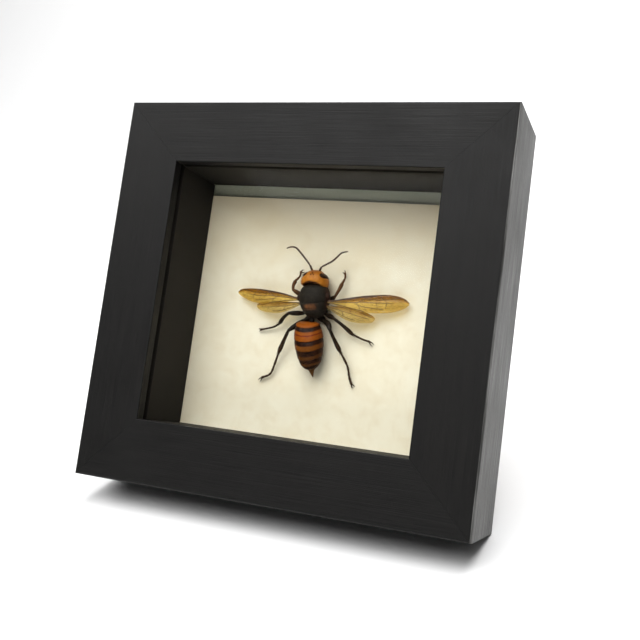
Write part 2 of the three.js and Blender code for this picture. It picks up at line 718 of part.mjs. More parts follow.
const hornet = new THREE.Group();
const addPart = (name, solid, look) => hornet.add(meshOf(name, geometryOf(solid), look));
addPart('head', headSolid, finish.headOrange);
addPart('thorax', thoraxSolid, finish.thoraxBrown);
addPart('petiole', petioleSolid(), finish.thoraxBrown);
addPart('gaster', gasterSolid, finish.gasterOrange);
for (const [letter, side] of [['L', -1], ['R', 1]]) {
  addPart(`eye_${letter}`, eyeSolid(side, 0), finish.eyeBrown);
  addPart(`mandible_${letter}`, mandibleSolid(side), finish.mandibleBrown);
  addPart(`antenna_${letter}`, antennaSolid(letter), finish.antennaBrown);
}
for (const [name, leg] of Object.entries(legs)) {
  addPart(`leg_${name}`, clear(legSolid(leg), thoraxGrown, gasterGrown), finish.legBrown);
}
for (const [name, wing] of Object.entries(wings)) {
  addPart(name, clear(wingSolid(wing), thoraxGrown), finish.wingAmber);
}
addPart('mounting_pad', padSolid(), finish.glue);
hornet.position.z = -CARD_FACE;
shadowBox.add(hornet);

// The whole case, leaning back until its rear bottom edge rests on the floor
shadowBox.rotation.x = Math.PI / 2 - lean;
shadowBox.position.z = centreHeight;

// Strut: a tapered board from the back of the case down to the floor

function backPoint(up, gap) {
  const depth = FRAME_DEPTH + gap;
  return [
    Math.sin(lean) * up + Math.cos(lean) * depth,
    Math.cos(lean) * up - Math.sin(lean) * depth + centreHeight,
  ];
}

function strutMesh() {
  const boardBack = boardFront + BOARD_THICKNESS - FRAME_DEPTH + FIT_GAP;
  const [topY, topZ] = backPoint(STRUT_JOINT_HEIGHT, boardBack);
  const [lowY, lowZ] = backPoint(STRUT_JOINT_HEIGHT - STRUT_JOINT_DROP, boardBack);
  const restY = backPoint(-FRAME_HEIGHT / 2, 0)[0];
  const footY = restY + STRUT_REACH;
  const profile = [[topY, topZ], [lowY, lowZ], [footY - STRUT_THICKNESS, 0], [footY, 0]];
  const shape = new THREE.Shape(profile.map(([y, z]) => new THREE.Vector2(y, z)));
  const geometry = new THREE.ExtrudeGeometry(shape, { depth: 1, bevelEnabled: false });
  const position = geometry.attributes.position;
  for (let index = 0; index < position.count; index += 1) {
    const y = position.getX(index);
    const z = position.getY(index);
    const side = position.getZ(index) > 0.5 ? 1 : -1;
    const width = THREE.MathUtils.lerp(STRUT_WIDTH_FOOT, STRUT_WIDTH_TOP, z / topZ);
    position.setXYZ(index, side * width / 2, y, z);
  }
  return meshOf('stand_strut', geometryOf(outward(geometry)), finish.strut);
}

const specimen = new THREE.Group();
specimen.add(shadowBox);
specimen.add(strutMesh());

// The origin is on the floor under the middle of everything
const reach = new THREE.Box3().setFromObject(specimen);
specimen.position.x = -(reach.min.x + reach.max.x) / 2;
specimen.position.y = -(reach.min.y + reach.max.y) / 2;

export default specimen;
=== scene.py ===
# A giant hornet specimen on a parchment card, behind glass in a black shadow-box frame that leans back.
import math

import bpy
import numpy as np
from mathutils import Matrix, Vector


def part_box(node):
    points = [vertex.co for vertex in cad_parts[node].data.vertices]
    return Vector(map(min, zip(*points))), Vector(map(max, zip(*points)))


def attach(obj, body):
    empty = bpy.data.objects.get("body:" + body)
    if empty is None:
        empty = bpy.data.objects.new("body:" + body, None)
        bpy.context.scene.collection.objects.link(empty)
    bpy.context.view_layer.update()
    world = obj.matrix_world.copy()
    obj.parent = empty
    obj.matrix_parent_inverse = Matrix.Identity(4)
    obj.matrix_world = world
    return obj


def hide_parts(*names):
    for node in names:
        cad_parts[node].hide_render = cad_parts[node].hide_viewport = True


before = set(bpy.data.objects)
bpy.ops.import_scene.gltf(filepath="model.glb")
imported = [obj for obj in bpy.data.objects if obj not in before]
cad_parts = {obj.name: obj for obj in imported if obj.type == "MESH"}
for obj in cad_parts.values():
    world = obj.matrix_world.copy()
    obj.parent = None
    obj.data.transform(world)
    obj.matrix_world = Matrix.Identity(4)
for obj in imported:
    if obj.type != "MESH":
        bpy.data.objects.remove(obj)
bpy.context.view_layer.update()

MM = 0.001

# Case sizes in millimetres, as the solids have them
FRAME_WIDTH = 150.0
FRAME_HEIGHT = 144.0
FRAME_DEPTH = 36.0
LEAN = math.radians(20.5)
RAIL_FACE = 23.3
HINGE_UP = 36.0
HINGE_HALF = (10.0, 4.5)
POINT_HALF = (3.0, 4.5)
POINT_SPACING = 28.0
LIP_DEPTH = 4.0
REBATE = 7.0
GLASS_MIDDLE = 5.3
CARD_FACE = 32.0
EDGE_ROUND = 0.9
SMALL_ROUND = 0.35
MITRE_GAP = 0.03
HINGE_THICKNESS = 0.9
RIVET_RADII = (1.3, 1.3, 0.8)
RIVET_SPACING = 5.5
POINT_THICKNESS = 0.5
STRUT_ROUND = 0.5

# Camera, solved from the frame's corners in the photograph
CAMERA_MM = (130.09, -303.5, 144.59)
CAMERA_AZIMUTH_DEG = 22.25
CAMERA_PITCH_DEG = -13.18
CAMERA_LENS_MM = 51.2

BODY = "root"
rng = np.random.default_rng(7)


def case_matrix():
    """Turns case millimetres (x right, y up the card, z towards the viewer) into the part's metres."""
    right = Vector((1, 0, 0))
    up = Vector((0, math.sin(LEAN), math.cos(LEAN)))
    out = Vector((0, -math.cos(LEAN), math.sin(LEAN)))
    low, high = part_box("glass_pane")
    middle = (Vector(low) + Vector(high)) / 2
    origin = middle + out * GLASS_MIDDLE * MM
    turn = Matrix((right, up, out)).transposed().to_4x4()
    return Matrix.Translation(origin) @ turn @ Matrix.Diagonal((MM, MM, MM, 1))


CASE = case_matrix()
HORNET = CASE @ Matrix.Translation((0, 0, -CARD_FACE))

SIDES = (("L", -1), ("R", 1))


# Shader helpers: each adds its nodes to the tree of the socket, or the tree, that it is given first

def node(near, kind, inputs=None, **settings):
    tree = near.id_data
    made = tree.nodes.new("ShaderNode" + kind)
    for key, value in settings.items():
        setattr(made, key, value)
    for key, value in (inputs or {}).items():
        if isinstance(value, bpy.types.NodeSocket):
            tree.links.new(value, made.inputs[key])
        else:
            made.inputs[key].default_value = value
    return made


def rgba(colour):
    return (*colour, 1) if isinstance(colour, tuple) else colour


def new_material(name, matrix):
    """An empty material, and its shading point in a local frame's millimetres."""
    material = bpy.data.materials.new(name)
    material.use_nodes = True
    material.node_tree.nodes.clear()
    inverse = matrix.inverted()
    mapping = node(material.node_tree, "Mapping", {
        "Vector": node(material.node_tree, "TexCoord").outputs["Object"], "Location": inverse.to_translation(),
        "Rotation": inverse.to_euler(), "Scale": (1 / MM,) * 3})
    return material, mapping.outputs["Vector"]


def surfaced(material, shader):
    node(shader, "OutputMaterial", {"Surface": shader})
    return material


def stretched(vector, scale):
    return node(vector, "Mapping", {"Vector": vector, "Scale": scale}).outputs["Vector"]


def noise(vector, scale, detail=4.0, rough=0.5, distortion=0.0):
    made = node(vector, "TexNoise", {
        "Vector": vector, "Scale": scale, "Detail": detail, "Roughness": rough, "Distortion": distortion})
    return made.outputs["Fac"]


def voronoi(vector, scale, randomness):
    made = node(vector, "TexVoronoi", {"Vector": vector, "Scale": scale, "Randomness": randomness})
    return made.outputs["Distance"]


def maths(operation, *values, clamp=False):
    return node(values[0], "Math", dict(enumerate(values)), operation=operation, use_clamp=clamp).outputs[0]


def plus(a, b, clamp=False):
    return maths("ADD", a, b, clamp=clamp)


def times(a, b):
    return maths("MULTIPLY", a, b)


def scaled(value, factor, offset):
    return maths("MULTIPLY_ADD", value, factor, offset)


def absolute(value):
    return maths("ABSOLUTE", value)


def spread(value, low, high, to_low=0.0, to_high=1.0):
    made = node(value, "MapRange", {
        "Value": value, "From Min": low, "From Max": high, "To Min": to_low, "To Max": to_high}, clamp=True)
    return made.outputs["Result"]


def ramp(value, *stops):
    made = node(value, "ValToRGB", {"Fac": value})
    elements = made.color_ramp.elements
    elements.remove(elements[1])
    elements[0].position = stops[0][0]
    elements[0].color = rgba(stops[0][1])
    for place, colour in stops[1:]:
        elements.new(place).color = rgba(colour)
    return made.outputs["Color"]


def mixed(share, a, b):
    return node(share, "Mix", {0: share, 6: rgba(a), 7: rgba(b)}, data_type="RGBA").outputs[2]


def layered(share, clear, solid):
    return node(clear, "MixShader", {0: share, 1: clear, 2: solid}).outputs[0]


def bump(height, distance, strength):
    inputs = {"Height": height, "Distance": distance * MM, "Strength": strength}
    return node(height, "Bump", inputs).outputs["Normal"]


def principled(near, colour, roughness, normal=None, specular=0.5, metallic=0.0, coat=0.0):
    inputs = {"Base Color": rgba(colour), "Roughness": roughness, "Specular IOR Level": specular,
              "Metallic": metallic, "Coat Weight": coat}
    if normal is not None:
        inputs["Normal"] = normal
    return node(near, "BsdfPrincipled", inputs).outputs["BSDF"]


def painted(material, *looks, **extra):
    return surfaced(material, principled(material.node_tree, *looks, **extra))


def axis_of(vector, axis):
    return node(vector, "SeparateXYZ", {"Vector": vector}).outputs[axis]


# Materials of the case

def wood_material(name, axis):
    """Black-stained open-grained wood, its grain along an axis of the case, with a painted grey reflection on
    its outer sides.
    """
    material, where = new_material(name, CASE)
    fine, broad = [2.6] * 3, [0.35] * 3
    fine[axis], broad[axis] = 0.035, 0.012
    grain = noise(stretched(where, fine), 1.0, 6.0, 0.65)
    figure = noise(stretched(where, broad), 1.0, 3.0, 0.5, 0.4)
    blotch = noise(where, 0.05, 3.0)
    grey = ramp(grain, (0.3, (0.0011, 0.0010, 0.0009)), (0.52, (0.0022, 0.0020, 0.0018)),
                (0.75, (0.006, 0.0054, 0.0048)))
    colour = mixed(spread(figure, 0.35, 0.7, 0.0, 0.5), grey, (0.0042, 0.0037, 0.0032))
    # Painted reflection and highlight: the outer left and right sides, and the rounded front edge beside them,
    # are painted in light grey streaks.
    outer = spread(absolute(axis_of(where, 0)), FRAME_WIDTH / 2 - 0.7, FRAME_WIDTH / 2 - 0.3)
    side_reflection = ramp(grain, (0.36, (0.012, 0.0115, 0.011)), (0.5, (0.075, 0.074, 0.070)), (0.64, (0.25, 0.247, 0.24)))
    gloss = plus(spread(grain, 0.3, 0.7, 0.38, 0.60), spread(blotch, 0.3, 0.7, -0.04, 0.06))
    pores = plus(times(grain, 0.7), times(figure, 0.5))
    return painted(material, mixed(outer, colour, side_reflection), gloss, bump(pores, 0.25, 0.5), 0.17)


def spacer_material():
    """Dark brown paper-faced board inside the box."""
    material, where = new_material("dark_spacer", CASE)
    fibre = noise(stretched(where, (0.5, 0.5, 3.0)), 2.0, 5.0, 0.6)
    cloud = noise(where, 0.06, 3.0)
    tone = ramp(fibre, (0.3, (0.0060, 0.0044, 0.0032)), (0.7, (0.0100, 0.0074, 0.0055)))
    colour = mixed(spread(cloud, 0.35, 0.7, 0.0, 0.4), tone, (0.017, 0.012, 0.0085))
    return painted(material, colour, 0.7, bump(fibre, 0.02, 0.3), 0.25)


def card_material():
    """Parchment card: warm cream, faintly mottled, with small fibres, darker and tanner towards its top and
    left, partly its printed tan edge and partly painted shade from the top and left walls.
    """
    material, where = new_material("parchment_card", CASE)
    clouds = noise(where, 0.045, 5.0, 0.6, 0.6)
    mottle = noise(where, 0.16, 6.0, 0.62, 0.3)
    specks = noise(where, 2.2, 3.0, 0.6)
    fibres = noise(stretched(where, (0.5, 2.4, 1.0)), 1.6, 4.0, 0.6, 1.2)
    base = ramp(mottle, (0.3, (0.84, 0.735, 0.56)), (0.5, (0.89, 0.80, 0.635)), (0.72, (0.92, 0.845, 0.69)))
    colour = mixed(spread(clouds, 0.45, 0.72, 0.0, 0.3), base, (0.80, 0.69, 0.49))
    # Painted shade from the top and left walls, together with the card's printed tan edge: darker and tanner
    # towards the top and the left.
    top_tan_and_shade = spread(scaled(clouds, 26.0, axis_of(where, 1)), 26.0, 64.0, 0.0, 0.85)
    colour = mixed(top_tan_and_shade, colour, (0.84, 0.68, 0.45))
    left = spread(scaled(clouds, 20.0, axis_of(where, 0)), -20.0, -60.0, 0.0, 0.7)
    colour = mixed(left, colour, (0.89, 0.76, 0.56))
    colour = mixed(spread(specks, 0.64, 0.76, 0.0, 0.18), colour, (0.60, 0.49, 0.31))
    return painted(material, colour, 0.85, bump(plus(fibres, times(specks, 0.4)), 0.04, 0.3), 0.2)


def board_material():
    """Grey-green board in front, brown kraft paper behind."""
    material, where = new_material("grey_board", CASE)
    fibres = noise(stretched(where, (0.6, 1.6, 1.0)), 1.5, 5.0, 0.6, 0.8)
    front = ramp(fibres, (0.3, (0.33, 0.33, 0.25)), (0.7, (0.44, 0.43, 0.33)))
    back = ramp(fibres, (0.3, (0.23, 0.145, 0.075)), (0.7, (0.34, 0.225, 0.125)))
    behind = spread(axis_of(where, 2), -34.5, -33.8, 1.0, 0.0)
    return painted(material, mixed(behind, front, back), 0.8, bump(fibres, 0.08, 0.4))


def glass_material():
    """Thin clear glass: light passes straight through, and its faces gleam at a slant."""
    material, where = new_material("clear_glass", CASE)
    smear = noise(where, 0.08, 4.0, 0.55)
    shine = node(where, "Fresnel", {"IOR": 1.45}).outputs["Fac"]
    clear = node(where, "BsdfTransparent", {"Color": (0.965, 0.975, 0.965, 1)}).outputs["BSDF"]
    rough = spread(smear, 0.35, 0.75, 0.012, 0.05)
    gleam = node(where, "BsdfGlossy", {"Roughness": rough}).outputs["BSDF"]
    return surfaced(material, layered(times(shine, 0.06), clear, gleam))


def strut_material():
    material, where = new_material("strut_board", CASE)
    fibre = noise(stretched(where, (2.0, 0.06, 1.0)), 1.2, 5.0, 0.6)
    colour = ramp(fibre, (0.3, (0.010, 0.009, 0.0085)), (0.75, (0.030, 0.027, 0.024)))
    return painted(material, colour, 0.55, bump(fibre, 0.12, 0.45))


def brass_material():
    """Dull brass with faint scratches."""
    material, where = new_material("dull_brass", CASE)
    cloud = noise(where, 0.5, 5.0, 0.6)
    scratches = noise(stretched(where, (0.4, 6.0, 1.0)), 2.0, 4.0, 0.6)
    colour = ramp(cloud, (0.3, (0.30, 0.20, 0.08)), (0.7, (0.46, 0.33, 0.15)))
    gloss = spread(scratches, 0.3, 0.7, 0.3, 0.5)
    return painted(material, colour, gloss, bump(scratches, 0.01, 0.4), metallic=0.9)


# Meshes

def linked(name, data):
    """A new object in the scene."""
    made = bpy.data.objects.new(name, data)
    bpy.context.scene.collection.objects.link(made)
    return made


def add_object(name, points, faces, material, matrix, replaced=(), slot=None, smooth=True):
    mesh = bpy.data.meshes.new(name)
    corners = np.c_[np.asarray(points, float), np.ones(len(points))]
    placed = corners @ np.array(matrix).T
    mesh.from_pydata(placed[:, :3].tolist(), [], [tuple(int(i) for i in face) for face in faces])
    mesh.polygons.foreach_set("use_smooth", [smooth] * len(mesh.polygons))
    mesh.materials.append(material)
    mesh.update()
    piece = linked(name, mesh)
    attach(piece, BODY)
    if replaced:
        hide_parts(*replaced)
    return piece


def add_insect(name, skin, material, slot, replaced):
    """A piece of the hornet, from a skin's points and faces in its millimetres."""
    return add_object(name, *skin, material, HORNET, (replaced,), slot)


def loft(rings, start, end):
    """Points and faces of a closed skin through equal rings, closed by a point at each end."""
    rings = np.asarray(rings, float)
    count, sides = rings.shape[:2]
    points = np.vstack([rings.reshape(-1, 3), [start], [end]])
    first, last = count * sides, count * sides + 1
    faces = []
    for side in range(sides):
        after = (side + 1) % sides
        for ring in range(count - 1):
            a, b = ring * sides, (ring + 1) * sides
            faces.append((a + side, a + after, b + after, b + side))
        faces.append((first, after, side))
        end_ring = (count - 1) * sides
        faces.append((last, end_ring + side, end_ring + after))
    return points, faces


def joined(parts):
    """One point list and face list from several."""
    points, faces, offset = [], [], 0
    for some_points, some_faces in parts:
        points.append(np.asarray(some_points, float))
        faces.extend(tuple(i + offset for i in face) for face in some_faces)
        offset += len(some_points)
    return np.vstack(points), faces


def flipped(skin):
    points, faces = skin
    return points, [face[::-1] for face in faces]


def turned(points, place, yaw_deg):
    yaw = math.radians(yaw_deg)
    turn = np.array([[math.cos(yaw), -math.sin(yaw), 0], [math.sin(yaw), math.cos(yaw), 0], [0, 0, 1]])
    return np.asarray(points) @ turn.T + place


def moved(skin, place, yaw_deg):
    return turned(skin[0], place, yaw_deg), skin[1]


def circle(count):
    return np.linspace(0, 2 * math.pi, count, endpoint=False)


def sphere(sides, rings):
    """Unit vectors in rings, from the top down without the poles."""
    angle = circle(sides)
    return [np.c_[np.sin(polar) * np.cos(angle), np.sin(polar) * np.sin(angle), np.full(sides, math.cos(polar))]
            for polar in np.linspace(0, math.pi, rings + 2)[1:-1]]


def bell(value, width):
    return np.exp(-(value / width) ** 2)


def section(value, power):
    """Squares up a circle's sine or cosine, the more the higher the power."""
    return np.sign(value) * np.abs(value) ** (2 / power)


def smooth_path(points, count):
    """Points evenly spaced along a centripetal Catmull-Rom curve."""
    p = np.asarray(points, float)
    p = np.vstack([2 * p[0] - p[1], p, 2 * p[-1] - p[-2]])
    dense = []
    for i in range(1, len(p) - 2):
        knots = p[i - 1:i + 3]
        t = np.cumsum([0.0, *np.linalg.norm(np.diff(knots, axis=0), axis=1) ** 0.5])
        u = np.linspace(t[1], t[2], 24, endpoint=False)[:, None]

        def between(j, k, a, b):
            return (t[k] - u) / (t[k] - t[j]) * a + (u - t[j]) / (t[k] - t[j]) * b

        first, middle, last = (between(k, k + 1, knots[k], knots[k + 1]) for k in range(3))
        dense.append(between(1, 2, between(0, 2, first, middle), between(1, 3, middle, last)))
    dense = np.vstack([*dense, p[-2:-1]])
    steps = np.r_[0, np.cumsum(np.linalg.norm(np.diff(dense, axis=0), axis=1))]
    wanted = np.linspace(0, steps[-1], count)
    return np.stack([np.interp(wanted, steps, dense[:, k]) for k in range(3)], 1)


# The domed end of a tube: how far out its rings lie and how wide they are, and where its tip is, in radii
DOME = ((0.44, 0.92), (0.68, 0.6))
DOME_TIP = 0.85


def tube(points, radii, sides, rings, flatten=1.0, ripple=None):
    """A round limb with domed ends; radii are (share of length, radius) pairs."""
    line = smooth_path(points, rings)
    shares = np.linspace(0, 1, rings)
    size = np.interp(shares, *zip(*radii))
    if ripple:
        size = size * ripple(shares)
    ahead = np.gradient(line, axis=0)
    ahead /= np.linalg.norm(ahead, axis=1)[:, None]
    side = np.cross(ahead[0], (0, 0, 1.0))
    if np.linalg.norm(side) < 0.2:
        side = np.cross(ahead[0], (0, 1.0, 0))
    angle = circle(sides)[:, None]
    around = []
    for way in ahead:
        side = side - way * side.dot(way)
        side /= np.linalg.norm(side)
        around.append(side * np.cos(angle) + np.cross(side, way) * np.sin(angle) * flatten)

    def at(index, out, wide):
        return line[index] + (ahead[index] * out + around[index] * wide) * size[index]

    skin = [at(0, -out, wide) for out, wide in DOME[::-1]]
    skin += [at(index, 0, 1) for index in range(rings)]
    skin += [at(-1, out, wide) for out, wide in DOME]
    return loft(skin, at(0, -DOME_TIP, 0)[0], at(-1, DOME_TIP, 0)[0])


def ball(radii, place, yaw=0, sides=32, rings=18):
    """An ellipsoid, turned about Z and moved to a place."""
    turn = np.array(Matrix.Rotation(yaw, 3, "Z"))
    skin = [(ring * radii) @ turn.T + place for ring in sphere(sides, rings)]
    pole = turn @ np.array((0, 0, radii[2]))
    return flipped(loft(skin, pole + place, -pole + place))


# Case pieces

def rail_profile():
    """The moulding's outline, inward and back from its outer front edge, with worn round edges."""
    def corner(inward, back, start_deg, radius):
        angles = np.radians(np.linspace(start_deg, start_deg + 90, 6))
        return [(inward + radius * math.cos(a), back + radius * math.sin(a)) for a in angles]
    deep = RAIL_FACE - REBATE
    return [*corner(EDGE_ROUND, EDGE_ROUND, 180, EDGE_ROUND),
            *corner(RAIL_FACE - SMALL_ROUND, SMALL_ROUND, 270, SMALL_ROUND),
            (RAIL_FACE, LIP_DEPTH), (deep, LIP_DEPTH), (deep, FRAME_DEPTH),
            *corner(EDGE_ROUND, FRAME_DEPTH - EDGE_ROUND, 90, EDGE_ROUND)]


def rail(side, turn_deg, length, offset, material):
    """A mitred rail, cut off where it would reach below the floor."""
    profile = rail_profile()
    points = [(end * (length / 2 - inward - MITRE_GAP), offset - inward, -back)
              for end in (-1, 1) for inward, back in profile]
    count = len(profile)
    faces = [tuple(range(count))[::-1], tuple(range(count, 2 * count))]
    for k in range(count):
        after = (k + 1) % count
        faces.append((k, after, count + after, count + k))
    piece = add_object(f"rail_{side}", turned(points, (0, 0, 0), turn_deg), faces, material, CASE,
                       (f"frame_{side}",), "black_wood", smooth=False)
    for vertex in piece.data.vertices:
        vertex.co.z = max(vertex.co.z, 0.0)


def dress(name, material):
    """Gives a solid that is shown as it is a material of its own."""
    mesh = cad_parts[name].data
    mesh.materials.clear()
    mesh.materials.append(material)


def build_case():
    level = wood_material("black_wood_level", 0)
    upright = wood_material("black_wood_upright", 1)
    rail("top", 0, FRAME_WIDTH, FRAME_HEIGHT / 2, level)
    rail("left", 90, FRAME_HEIGHT, FRAME_WIDTH / 2, upright)
    rail("bottom", 180, FRAME_WIDTH, FRAME_HEIGHT / 2, level)
    rail("right", 270, FRAME_HEIGHT, FRAME_WIDTH / 2, upright)
    spacer = spacer_material()
    for side in ("top", "left", "bottom", "right"):
        dress(f"spacer_{side}", spacer)
    dress("card", card_material())
    dress("backing_board", board_material())
    dress("glass_pane", glass_material())
    dress("stand_strut", strut_material())


def plate(centre, half, thickness):
    """A thin plate with rounded corners on the back of the board, in case millimetres."""
    angle = circle(32)
    flat = np.c_[half[0] * section(np.cos(angle), 5), half[1] * section(np.sin(angle), 5), np.zeros(32)]
    back = np.array((0, 0, -thickness))
    inset = ((0.0, 1.0), (0.75, 1.0), (1.0, 0.94))
    return loft([centre + flat * size + back * depth for depth, size in inset], centre, centre + back)


def add_back_fittings():
    """The strut's hinge with its two rivets, and the points that hold the board in the rails."""
    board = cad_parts["backing_board"]
    to_case = CASE.inverted() @ board.matrix_world
    corners = np.array([to_case @ vertex.co for vertex in board.data.vertices])
    back = corners[:, 2].min()
    reach_x, reach_y = corners[:, :2].max(0) - POINT_HALF[1]
    parts = [plate((0, HINGE_UP, back), HINGE_HALF, HINGE_THICKNESS)]
    for side in (-1, 1):
        rivet = (side * RIVET_SPACING, HINGE_UP, back - HINGE_THICKNESS)
        parts.append(ball(RIVET_RADII, rivet, sides=20, rings=8))
        for along in (-POINT_SPACING, POINT_SPACING):
            parts.append(plate((side * reach_x, along, back), POINT_HALF[::-1], POINT_THICKNESS))
            parts.append(plate((along, side * reach_y, back), POINT_HALF, POINT_THICKNESS))
    add_object("back_fittings", *joined(parts), brass_material(), CASE, slot="strut_board")
    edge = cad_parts["stand_strut"].modifiers.new("soft_edge", "BEVEL")
    edge.width = STRUT_ROUND * MM
    edge.segments = 3


build_case()
add_back_fittings()

# Hornet sizes in millimetres: x right, y up the card, z off the card

HEAD_AT = (np.array((0.45, 11.85, 6.1)), -1.0)
THORAX_AT = (np.array((1.2, 3.5, 6.2)), 7.0)
GASTER_AT = (np.array((-0.55, -4.55, 5.9)), 11.2)
HEAD_HALF = np.array((5.43, 3.35, 4.7))
HEAD_POWER = 2.5
NAPE_HOLLOW = 1.5
JAW_TAPER = 0.3
CROWN_TAPER = 0.1
BROW_TAPER = 0.245
TEMPLE_FLARE = 0.15
TEMPLE_REACH = 0.35
WIDEST_BACK = 0.25
EYE_RADII = (1.95, 1.35, 3.4)
EYE_PLACE = (3.15, 0.92, 0.32)
EYE_TURN = 0.58
OCELLUS_RADII = (0.24, 0.24, 0.2)
OCELLUS_PLACES = ((0, 1.65, 4.44), (-0.6, 1.05, 4.44), (0.6, 1.05, 4.44))
TEGULA_RADII = (1.0, 1.35, 0.85)
TEGULA_PLACE = (5.5, 1.3, 1.7)
PETIOLE_RADII = (1.0, 2.0, 0.95)
PETIOLE_PLACE = (0.75, -3.7, 5.3)
GASTER_DROOP = 1.6
GASTER_FLATNESS = 0.83
GASTER_LENGTH = 21.0
GASTER_END = 20.85
RING_LEAN = 0.31
RING_SKEW = (-0.16, 0.04)
RING_BOW = 0.03
TIP_BEND = 0.4
TIP_START = 0.76

# Hind edges of the gaster's rings, along it from its front
TERGITE_EDGES = (1.85, 6.95, 10.65, 13.9, 16.15, 21.5)



# Insect materials

def chitin_bump(where, pits=3.2, depth=0.03):
    """Fine punctures and a faint waviness, as on cuticle."""
    pit = spread(voronoi(where, pits, 1.0), 0.0, 0.32)
    return bump(plus(pit, times(noise(where, 0.9, 4.0, 0.6), 0.8)), depth, 0.5)


def axis_mm(place, yaw_deg):
    """The hornet frame turned so that Y runs up a body part from its place."""
    return HORNET @ Matrix.Translation(Vector(place)) @ Matrix.Rotation(math.radians(yaw_deg), 4, "Z")


def head_material():
    material, where = new_material("head_cuticle", axis_mm(*HEAD_AT))
    cloud = noise(where, 0.5, 4.0, 0.6, 0.4)
    base = ramp(cloud, (0.3, (0.31, 0.090, 0.006)), (0.55, (0.43, 0.145, 0.010)), (0.8, (0.53, 0.21, 0.022)))
    x, y, z = (axis_of(where, axis) for axis in range(3))
    wobble = scaled(noise(where, 0.9, 3.0), 0.8, -0.4)
    # Painted shade in the hollow of the nape: dark there, its edge running back towards each temple
    hollow = scaled(times(x, x), 0.075, y)
    nape = spread(plus(hollow, wobble), -1.75, -1.15, 1.0, 0.0)
    nape_shaded = mixed(nape, base, (0.050, 0.013, 0.005))
    front = spread(plus(y, wobble), 1.0, 2.4)
    middle = spread(absolute(x), 2.4, 1.0)
    brow = times(times(front, middle), spread(z, 0.5, 3.5, 0.15, 0.75))
    colour = mixed(brow, nape_shaded, (0.18, 0.035, 0.006))
    return painted(material, colour, 0.42, chitin_bump(where, 3.5, 0.03), 0.2)


def thorax_material():
    """Near black, with a chestnut collar, flanks and shield, all ragged at their edges."""
    material, where = new_material("thorax_cuticle", axis_mm(*THORAX_AT))
    cloud = noise(where, 0.8, 5.0, 0.65, 0.4)
    base = ramp(cloud, (0.3, (0.006, 0.0043, 0.003)), (0.55, (0.013, 0.0095, 0.0065)),
                (0.75, (0.028, 0.020, 0.013)))
    x, y, z = (axis_of(where, axis) for axis in range(3))
    wobble = scaled(noise(where, 1.1, 3.0), 1.8, -0.9)
    flank = times(spread(plus(absolute(x), wobble), 4.2, 5.2), spread(z, 3.0, 1.2))
    chestnut = mixed(times(flank, 0.6), base, (0.060, 0.017, 0.009))
    collar = spread(plus(y, wobble), 5.2, 6.2)
    collared = mixed(times(collar, 0.5), chestnut, (0.070, 0.020, 0.009))
    ragged = scaled(wobble, 0.5, y)
    on_plate = times(spread(ragged, -1.4, -2.2), spread(ragged, -4.1, -3.1))
    reach = plus(absolute(plus(x, 0.45)), wobble)
    shield = times(on_plate, spread(reach, 2.9, 1.5))
    patch = times(shield, spread(cloud, 0.3, 0.55, 0.35, 0.9))
    patched = mixed(patch, collared, (0.16, 0.058, 0.020))
    return painted(material, patched, 0.62, chitin_bump(where, 4.5, 0.045), 0.12)


def gaster_material():
    """Orange rings with dark fronts and thin dark lines, browner towards the tip, with painted shade on its
    flanks.
    """
    material, where = new_material("banded_cuticle", axis_mm(*GASTER_AT))
    along = node(where, "Attribute", attribute_name="ring").outputs["Fac"]
    wobble = scaled(noise(where, 1.0, 4.0, 0.6), 0.5, -0.25)
    share = maths("DIVIDE", plus(along, wobble), GASTER_LENGTH)
    orange, deep, brown = (0.27, 0.065, 0.0045), (0.155, 0.046, 0.005), (0.085, 0.028, 0.005)
    dark, line, sting = (0.0065, 0.0020, 0.0014), (0.13, 0.014, 0.004), (0.13, 0.055, 0.014)
    bands = [(0.0, orange), (1.45, orange), (1.85, dark), (3.1, dark), (3.5, orange), (4.3, orange),
             (4.55, line), (4.8, line), (5.05, orange), (6.55, orange), (6.95, dark), (8.4, dark), (8.8, deep),
             (10.25, deep), (10.65, dark), (12.3, dark), (12.75, brown), (13.6, brown), (13.9, dark),
             (15.2, dark), (15.45, brown), (15.95, brown), (16.2, dark), (17.5, dark), (17.9, sting),
             (20.0, sting), (20.8, dark)]
    colour = ramp(share, *((at / GASTER_LENGTH, tone) for at, tone in bands))
    cloud = noise(where, 0.7, 5.0, 0.6)
    # Painted shade: darker towards both flanks, where the gaster curves away from the light; the clouds also
    # darken it in random blotches.
    side = spread(absolute(axis_of(where, 0)), 2.8, 5.6, 0.0, 0.25)
    blotches_and_flank_shade = plus(spread(cloud, 0.35, 0.75, 0.0, 0.35), side)
    shaded = mixed(blotches_and_flank_shade, colour, (0.075, 0.022, 0.008))
    gloss = spread(cloud, 0.3, 0.7, 0.30, 0.42)
    return painted(material, shaded, gloss, chitin_bump(where, 4.0, 0.02), 0.08)


def plain_cuticle(name, tones, roughness, pits=3.0, depth=0.02, foot=None, **extra):
    """Clouded cuticle; foot is a tone for what lies beyond a near and a far distance of the thorax."""
    material, where = new_material(name, HORNET)
    colour = ramp(noise(where, 0.9, 5.0, 0.6, 0.3), *zip((0.3, 0.55, 0.8), tones))
    if foot:
        tone, near, far = foot
        centre = node(where, "VectorMath", {0: where, 1: tuple(THORAX_AT[0])}, operation="DISTANCE")
        colour = mixed(spread(centre.outputs["Value"], near, far, 0.0, 0.85), colour, tone)
    return painted(material, colour, roughness, chitin_bump(where, pits, depth), **extra)


def eye_material():
    material, where = new_material("compound_eye", HORNET)
    facets = voronoi(where, 9.0, 0.35)
    colour = ramp(noise(where, 0.6, 3.0), (0.35, (0.020, 0.008, 0.004)), (0.7, (0.060, 0.022, 0.009)))
    return painted(material, colour, 0.5, bump(facets, 0.01, 0.5), 0.1)


